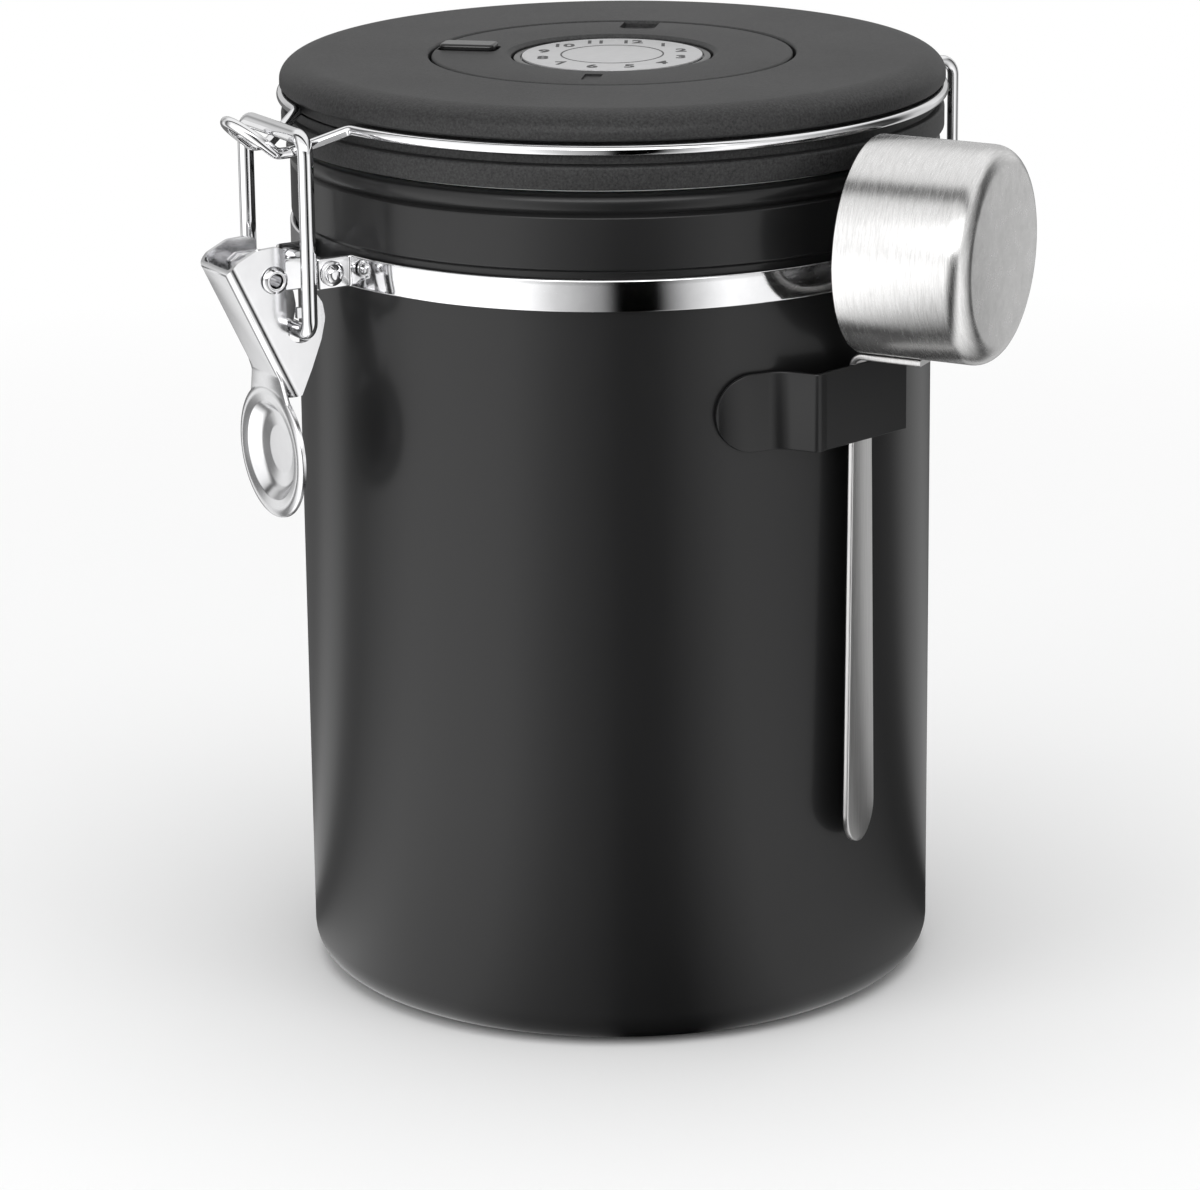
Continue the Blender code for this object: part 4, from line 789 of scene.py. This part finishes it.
# %% Upper moulding and gasket
LID_R, LID_TOP = end_of("lid_cover", HIGH, X), end_of("lid_cover", HIGH, Z)
COVER_LOW, SEAT_R, SEAT_Z = end_of("lid_cover", LOW, Z), 35.55, 178.5
rim = [(INNER_R, COVER_LOW), (GROOVE_R, COVER_LOW), (GROOVE_R, 176.4), (64.0, 176.4), (LID_R, 176.95)]
rim = softened(rim, (0, 0.2, 0.4, 0.4, 0.4), 3, closed=False)
shoulder = arc((LID_R - 6.0, LID_TOP - 4.0), (6.0, 4.0), 0, 90, 18)
seat = [(SEAT_R, LID_TOP), (SEAT_R, SEAT_Z), (4.3, SEAT_Z), (4.3, 177.0), (37.05, 177.0), (37.05, 180.3),
        (58.0, 180.3), (INNER_R, 176.6)]
seat = softened(seat, (0.6, 0.2, 0.1, 0.1, 0.5, 0.5, 2.0, 0.5), 5)
cover = turned("lid_upper", np.concatenate([rim, shoulder, seat]), lid_plastic, 256)
settle(cover, "lid", "lid_plastic", "lid_cover")
gasket = [(54.3, 167.0), (55.7, 167.0), (55.7, 165.2), (57.1, 165.2), (57.1, 167.0), (62.8, 167.0),
          (62.8, 168.2), (54.3, 168.2)]
gasket = softened(gasket, (0.1, 0.1, 0.5, 0.5, 0.3, 0.4, 0.3, 0.1), 3)
settle(turned("gasket_soft", gasket, silicone), "lid", "silicone", "lid_gasket")

# %% [markdown]
# ## The date dial
#
# A ring turns in the lid's seat round a fixed disc with the numbers of the months. It has a
# square mark that points at a number, a notch for a fingernail, and a glossy thumb bar that
# stands in a pocket. Mark, notch and pocket are closed blocks cut out of the turned ring.

# %% Dial


def rounded_block(name, centre, angle, size, heights, corner, finish):
    """An upright block with rounded corners, at a distance and an angle in degrees round the dial.
    Its size is (length away from the axis, width across), and its heights are (low, high)."""
    (x, y), (low, high) = np.array(size) / 2, heights
    outline = softened([(x, y), (-x, y), (-x, -y), (x, -y)], corner, 6)
    outward, sideways = directions(math.radians(angle))
    away = (centre + outline[:, :1]) * outward
    return prism(name, away + outline[:, 1:] * sideways + (0, 0, low), (0, 0, high - low), finish)


DIAL_LOW, GRIP_OUT, GRIP_ANGLE = end_of("date_dial", LOW, Z), 28.5, -133
ledge = [(16.0, DIAL_LOW), (35.0, DIAL_LOW), (35.0, 181.6), (20.6, 181.6), (19.6, 181.05), (19.6, 179.6),
         (16.0, 179.6)]
ledge = softened(ledge, (0.1, 0.2, 0.6, 0.8, 0.3, 0.1, 0.1), 5)
dial = turned("dial_ring", ledge, lid_plastic)
combine(dial, rounded_block("mark", 26.8, -39, (6.0, 3.4), (181.2, 182.4), 0.4, lid_plastic), "DIFFERENCE")
combine(dial, rounded_block("notch", 32.2, 139, (11.0, 7.2), (180.4, 182.4), 2.2, lid_plastic), "DIFFERENCE")
pocket = rounded_block("pocket", GRIP_OUT, GRIP_ANGLE, (11.8, 6.6), (180.9, 182.4), 1.4, lid_plastic)
combine(dial, pocket, "DIFFERENCE")
smooth(dial.data, 35)
settle(dial, "dial", "lid_plastic", "date_dial")
grip_heights = (180.95, end_of("date_dial", HIGH, Z))
grip = rounded_block("thumb_bar", GRIP_OUT, GRIP_ANGLE, (10.8, 5.4), grip_heights, 1.2, gloss_plastic)
soft_edges(grip, 0.5, 4, 30)
settle(grip, "dial", "lid_plastic")

# %% Hub and number disc
DISC_R, DISC_TOP, DISC_LOW = 17.5, end_of("number_plate", HIGH, Z), end_of("number_plate", LOW, Z)
hub = [(0, 175.3), (4.0, 175.3), (4.9, 176.0), (4.9, 176.7), (4.0, 176.7), (4.0, 178.8), (15.7, 178.8),
       (15.7, 179.9), (19.2, 179.9), (19.2, 180.9), (17.8, 180.9), (17.8, 180.4), (0, 180.4)]
hub = softened(hub, (0, 0.2, 0.2, 0.1, 0.1, 0.2, 0.1, 0.1, 0.1, 0.3, 0.2, 0.1, 0), 3)
settle(turned("dial_hub_dark", hub, gloss_plastic, 128), "lid", "lid_plastic", "dial_hub")
disc = softened([(0, DISC_LOW), (DISC_R, DISC_LOW), (DISC_R, DISC_TOP), (0, DISC_TOP)], (0, 0.1, 0.15, 0), 3)
settle(turned("number_disc", disc, disc_white, 128), "lid", "number_disc", "number_plate")

# %% [markdown]
# ## The print on the disc
#
# The numbers and the thin circle are printed. They are ink 0.04 mm proud of the disc, so that
# they can't flicker with it. A number starts as a text curve and is made a mesh before it is
# moved to its place. Twelve stands furthest back as the camera sees the disc.

# %% Circle line and numbers
LINE_R, LINE_HALF, INK_LOW, INK_HIGH = 9.9, 0.15, DISC_TOP - 0.02, DISC_TOP + 0.04
NUMBERS_R, NUMBER_SIZE, NUMBER_BOLD, NUMBER_HALF_DEPTH, TWELVE_AT = 13.8, 4.5, 0.11, 0.03, 133
line = [(LINE_R - LINE_HALF, INK_LOW), (LINE_R + LINE_HALF, INK_LOW), (LINE_R + LINE_HALF, INK_HIGH),
        (LINE_R - LINE_HALF, INK_HIGH)]
settle(turned("circle_line", line, ink, 128), "lid", "number_disc")
for month in range(1, 13):
    words = bpy.data.curves.new("month", "FONT")
    words.body = str(month)
    words.size, words.extrude, words.offset = NUMBER_SIZE, NUMBER_HALF_DEPTH, NUMBER_BOLD
    words.align_x, words.align_y = "CENTER", "CENTER"
    text = linked("month", words)
    graph = bpy.context.evaluated_depsgraph_get()
    mesh = bpy.data.meshes.new_from_object(text.evaluated_get(graph))
    bpy.data.objects.remove(text, do_unlink=True)
    outward, _ = directions(math.radians(TWELVE_AT - 30 * (month % 12)))
    middle = Matrix.Translation((*(outward[:2] * NUMBERS_R), DISC_TOP + 0.01))
    mesh.transform(Matrix.Scale(MM, 4) @ middle @ Matrix.Rotation(turn, 4, "Z"))
    mesh.materials.clear()
    mesh.materials.append(ink.material)
    settle(linked("number_%02d" % month, mesh), "lid", "number_disc")

# %% [markdown]
# ## The valve beneath the lid
#
# Under the lid a small housing lets the coffee's gas out and no air in. It shows when the lid is
# open: a flanged cup with a ring of holes, and above it a soft flap and a slotted cap. Their
# solids are already the right shape, so they stay and only get a finish.

# %% Valve
for node, finish in (("valve_body", gloss_plastic), ("valve_cap", gloss_plastic), ("valve_flap", silicone)):
    solid = frame["nodes"][node]
    solid.data.materials.clear()
    solid.data.materials.append(finish.material)
    print(node, "gets", finish.material.name)

# %% [markdown]
# ## The clip and the scoop
#
# A bent black strip makes a pocket on the can's side: a rounded end lies on the can, a soft bend
# lifts it off, and a flat face holds the scoop's handle. The scoop is a brushed cup with a long
# flat handle; the handle's top turns out beneath the cup, where it is welded.

# %% Clip
CLIP_Z, CLIP_HALF, CLIP_R, CLIP_WALL = middle_of("scoop_clip", Z), half_of("scoop_clip", Z), 62.7, 0.8
FACE_TURN, FACE_R = math.radians(14), 67.5
clip_start, foot_end = math.radians(-13.6), math.radians(-1.6)
turning = np.linspace(0.06, 1, 14) * math.pi / 2
round_end = around(CLIP_R, clip_start + CLIP_HALF / CLIP_R * (1 - np.cos(turning)), CLIP_Z)
foot = around(CLIP_R, np.array([clip_start + CLIP_HALF / CLIP_R, foot_end]), CLIP_Z)
face_out, face_along = directions(FACE_TURN)
ridge = FACE_R * math.tan(math.radians(1.9 - 14))
knots = [(FACE_R + 0.35, ridge + 0.2), (FACE_R, ridge + 2.4), (FACE_R, 10.0)]
knots = [face_out * out + face_along * along + (0, 0, CLIP_Z) for out, along in knots]
bends = softened(np.concatenate([foot, knots]), (0, 6.5, 0.9, 2.0, 0), 12, closed=False)
clip_path = np.concatenate([round_end, bends[1:]])
clip_halves = np.r_[CLIP_HALF * np.sin(turning), np.full(len(bends) - 1, CLIP_HALF)]
clip = strip_piece("clip_strip", clip_path, (0, 0, 1), clip_halves, CLIP_WALL, 0.3, coat)
settle(clip, "can", "black_coat", "scoop_clip")

# %% Scoop cup
CUP_R, CUP_DEEP, CUP_WALL, DROOP = 20.4, 25.9, 0.7, math.radians(1)
outward, side = directions(SCOOP_TURN)
upright = np.array((0, 0, 1))
cup_axis = outward * math.cos(DROOP) - upright * math.sin(DROOP)
cup_down = -outward * math.sin(DROOP) - upright * math.cos(DROOP)
handle_line = face_out * 64.7 + face_along * 0.6
rim_centre = outward * 64.1 + side * (handle_line @ side - 1.5) + upright * 153.8
inside_r, inside_deep = CUP_R - CUP_WALL, CUP_DEEP - CUP_WALL
cup = [(CUP_R, 0), (CUP_R, CUP_DEEP), (0, CUP_DEEP), (0, inside_deep), (inside_r, inside_deep), (inside_r, 0)]
cup = turned("cup_shell", softened(cup, (0.3, 4.0, 0, 0, 3.3, 0.25), 10), brushed_cup, 160)
lean = Vector(upright).rotation_difference(Vector(cup_axis)).to_matrix().to_4x4()
settle(put(cup, rim_centre, lean), "scoop", "scoop_steel", "scoop_cup")

# %% Scoop handle
HANDLE_HALF, TAB_HALF, TAB_LONG, HANDLE_WALL, WELD_GAP, TIP_Z = 6.6, 4.25, 13.7, 1.2, 0.3, 35.9
tab_line = rim_centre + cup_down * (CUP_R + WELD_GAP + HANDLE_WALL / 2)
corner = tab_line + cup_axis * ((handle_line @ outward - tab_line @ outward) / (cup_axis @ outward))
corner = corner + side * (handle_line @ side - corner @ side)
tip = handle_line + upright * TIP_Z
turning = np.linspace(0.05, 1, 16) * math.pi / 2
round_tip = tip + upright * (HANDLE_HALF * (1 - np.cos(turning)))[:, None]
bend = softened([tip, corner, corner + cup_axis * TAB_LONG], (0, 2.0, 0), 8, closed=False)[1:]
rise = np.linspace(0, 1, 14)[1:-1, None]
shaft = round_tip[-1] + (bend[0] - round_tip[-1]) * rise
handle_path = np.concatenate([round_tip, shaft, bend])
narrowing = HANDLE_HALF - (HANDLE_HALF - TAB_HALF) * rise[:, 0]
halves = np.r_[HANDLE_HALF * np.sin(turning), narrowing, np.full(len(bend), TAB_HALF)]
handle = strip_piece("handle_strip", handle_path, side, halves, HANDLE_WALL, 0.35, brushed)
settle(handle, "scoop", "scoop_steel", "scoop_handle")

# %% [markdown]
# ## Floor and light
#
# The part stands on a pale floor that keeps its soft shadow. Polished steel and satin black only
# look like themselves with broad lights and dark gaps between them, so what shines doesn't see a
# white room: it sees a ring of bright and dark bands round the can, in the floor as well as in the
# walls, and a striped ceiling. Three soft lamps and an even grey world light the rest.

# %% The studio's bands
# Grey levels by the angle from the camera round the can, counted to the right as it is seen.
BANDS = (
    (-180, 0.12), (-168, 0.15), (-133, 0.2), (-122, 0.96), (-112, 0.96), (-105, 0.2), (-97, 0.2),
    (-84, 1.0), (-72, 1.6), (-34, 1.6), (-18, 0.7), (-3, 0.3), (2, 0.0), (16, 0.0), (26, 0.6),
    (40, 1.25), (62, 0.92), (100, 0.08), (112, 0.04), (124, 0.66), (142, 0.66), (158, 0.15),
    (180, 0.12),
)
BRIGHTEST = max(grey for angle, grey in BANDS)


def round_the_can(owner, vector):
    """The angle of a direction round the upright axis, from 0 to 1, with the camera's side at a half."""
    facing = owner.node("ShaderNodeMapping", {}, {"Vector": vector, "Rotation": (0, 0, -VIEW)})
    return owner.node("ShaderNodeTexGradient", {"gradient_type": "RADIAL"}, {"Vector": facing})


def bands(owner, vector):
    """The grey of the studio in a direction: a ramp over its angle. A ramp holds greys up to 1,
    so the levels are divided by the brightest and multiplied back."""
    stops = [((angle + 180) / 360, grey / BRIGHTEST) for angle, grey in BANDS]
    return owner.ramp(round_the_can(owner, vector), stops) * BRIGHTEST


print("bands:", len(BANDS))

# %% Floor
# The camera sees the plain floor near the can and white far off. What shines sees the bands, dimmed near the
# can as a painted shadow.
FLOOR_HALF, FLOOR_DROP, NEAR = 6000, 0.0003, 0.6
floor_finish = Finish("pale_floor", (0.9, 0.9, 0.9), 0.7, **{"Specular IOR Level": 0.1})
camera_ray = floor_finish.node("ShaderNodeLightPath", output="Is Camera Ray")
glossy_ray = floor_finish.node("ShaderNodeLightPath", output="Is Glossy Ray")
spot = floor_finish.place(scale=(1 / NEAR, 1 / NEAR, 1 / NEAR))
nearness = floor_finish.node("ShaderNodeTexGradient", {"gradient_type": "SPHERICAL"}, {"Vector": spot})
far = floor_finish.ramp(nearness, ((0.0, 1.0), (0.6, 0.0)))
# clear is a painted shadow: near the can's foot, the glowing bands that shining parts see are darkened to
# 0.7.
clear = floor_finish.ramp(nearness, ((0.72, 1.0), (0.90, 0.7)))
glowing = (camera_ray * far + glossy_ray).clamp()
strength = camera_ray + (1 - camera_ray) * bands(floor_finish, floor_finish.place()) * clear
glow = floor_finish.node("ShaderNodeEmission", {}, {"Color": (1, 1, 1, 1), "Strength": strength})
plain_floor = Wire(floor_finish, floor_finish.shader.outputs[0])
mixed = floor_finish.node("ShaderNodeMixShader", {}, {0: glowing, 1: plain_floor, 2: glow})
floor_finish.tree.links.new(mixed.socket, floor_finish.tree.nodes["Material Output"].inputs["Surface"])
floor_finish.material.cycles.emission_sampling = "NONE"
corners = [(-FLOOR_HALF, -FLOOR_HALF, 0), (FLOOR_HALF, -FLOOR_HALF, 0), (FLOOR_HALF, FLOOR_HALF, 0),
           (-FLOOR_HALF, FLOOR_HALF, 0)]
floor = mesh_piece("floor", corners, [(0, 1, 2, 3)], floor_finish)
floor.location.z = -FLOOR_DROP

# %% World
# White to the camera, an even grey to what is matt, and bands, panels and stripes to what shines.
SOFT_LIGHT = 0.7
world = bpy.data.worlds.new("studio")
bpy.context.scene.world = world
world.use_nodes = True
world.cycles.sampling_method = "NONE"


class Studio(Finish):
    """The world's nodes, with the same methods as a finish."""

    def __init__(self, world):
        self.tree = world.node_tree
        self.shader = self.tree.nodes["Background"]
        self.shader.inputs["Color"].default_value = (1, 1, 1, 1)


studio = Studio(world)
direction = studio.node("ShaderNodeTexCoord", output="Generated")
height = studio.node("ShaderNodeSeparateXYZ", {}, {0: direction}, "Z")
overhead = studio.ramp(height, ((0.45, 0.0), (0.7, 1.0)))
across = studio.node("ShaderNodeMapping", {}, {"Vector": direction, "Rotation": (0, 0, math.radians(56))})
across = studio.node("ShaderNodeSeparateXYZ", {}, {0: across}, "X")
stripes = ((0.0, 1.0), (0.12, 1.0), (0.20, 0.0), (0.40, 0.0), (0.54, 1.0), (1.0, 1.0))
ceiling = studio.ramp(across / height, stripes)
angle = round_the_can(studio, direction)
front = studio.ramp(angle, ((0.38, 0.0), (0.43, 1.0), (0.56, 1.0), (0.62, 0.0)))
behind = studio.ramp(angle, ((0.0, 1.0), (0.08, 1.0), (0.16, 0.0), (0.84, 0.0), (0.92, 1.0), (1.0, 1.0)))
panel = studio.ramp(height, ((0.16, 0.0), (0.34, 1.0), (0.55, 1.0), (0.75, 0.0)))
walls = 0.75 * bands(studio, direction) + 4.0 * panel * front + 0.5 * behind
shine = (1 - overhead) * walls + overhead * ceiling
camera_ray = studio.node("ShaderNodeLightPath", output="Is Camera Ray")
glossy_ray = studio.node("ShaderNodeLightPath", output="Is Glossy Ray")
unseen = glossy_ray * shine + (1 - glossy_ray) * SOFT_LIGHT
studio.feed("Strength", camera_ray + (1 - camera_ray) * unseen)
print("world ready")

# %% Lamps
AIM = Vector((0, 0, 0.09))


def lamp(name, azimuth, distance, height, width, tall, radiance):
    """A rectangular soft lamp, in metres, at an angle in degrees to the camera's right, turned to
    face the can. Its power is pi times its area times its radiance."""
    light = bpy.data.lights.new(name, "AREA")
    light.shape, light.size, light.size_y = "RECTANGLE", width, tall
    light.energy = math.pi * width * tall * radiance
    outward, _ = directions(VIEW + math.radians(azimuth))
    spot = Vector(outward) * distance + Vector((0, 0, height))
    stand = linked(name, light)
    stand.matrix_world = Matrix.Translation(spot) @ (AIM - spot).to_track_quat("-Z", "Y").to_matrix().to_4x4()
    stand.visible_glossy = False


lamp("key_left", azimuth=-55, distance=1.1, height=0.5, width=0.7, tall=1.1, radiance=1.2)
lamp("fill_right", azimuth=60, distance=1.2, height=0.45, width=0.6, tall=1.1, radiance=0.7)
lamp("top", azimuth=20, distance=0.25, height=1.3, width=1.3, tall=1.3, radiance=1.5)
print("lamps:", len(bpy.data.lights))

# %% View and size
bpy.context.scene.view_settings.view_transform = "Standard"


def plain(box):
    """A box as plain lists of numbers."""
    return [[float(value) for value in corner] for corner in box]
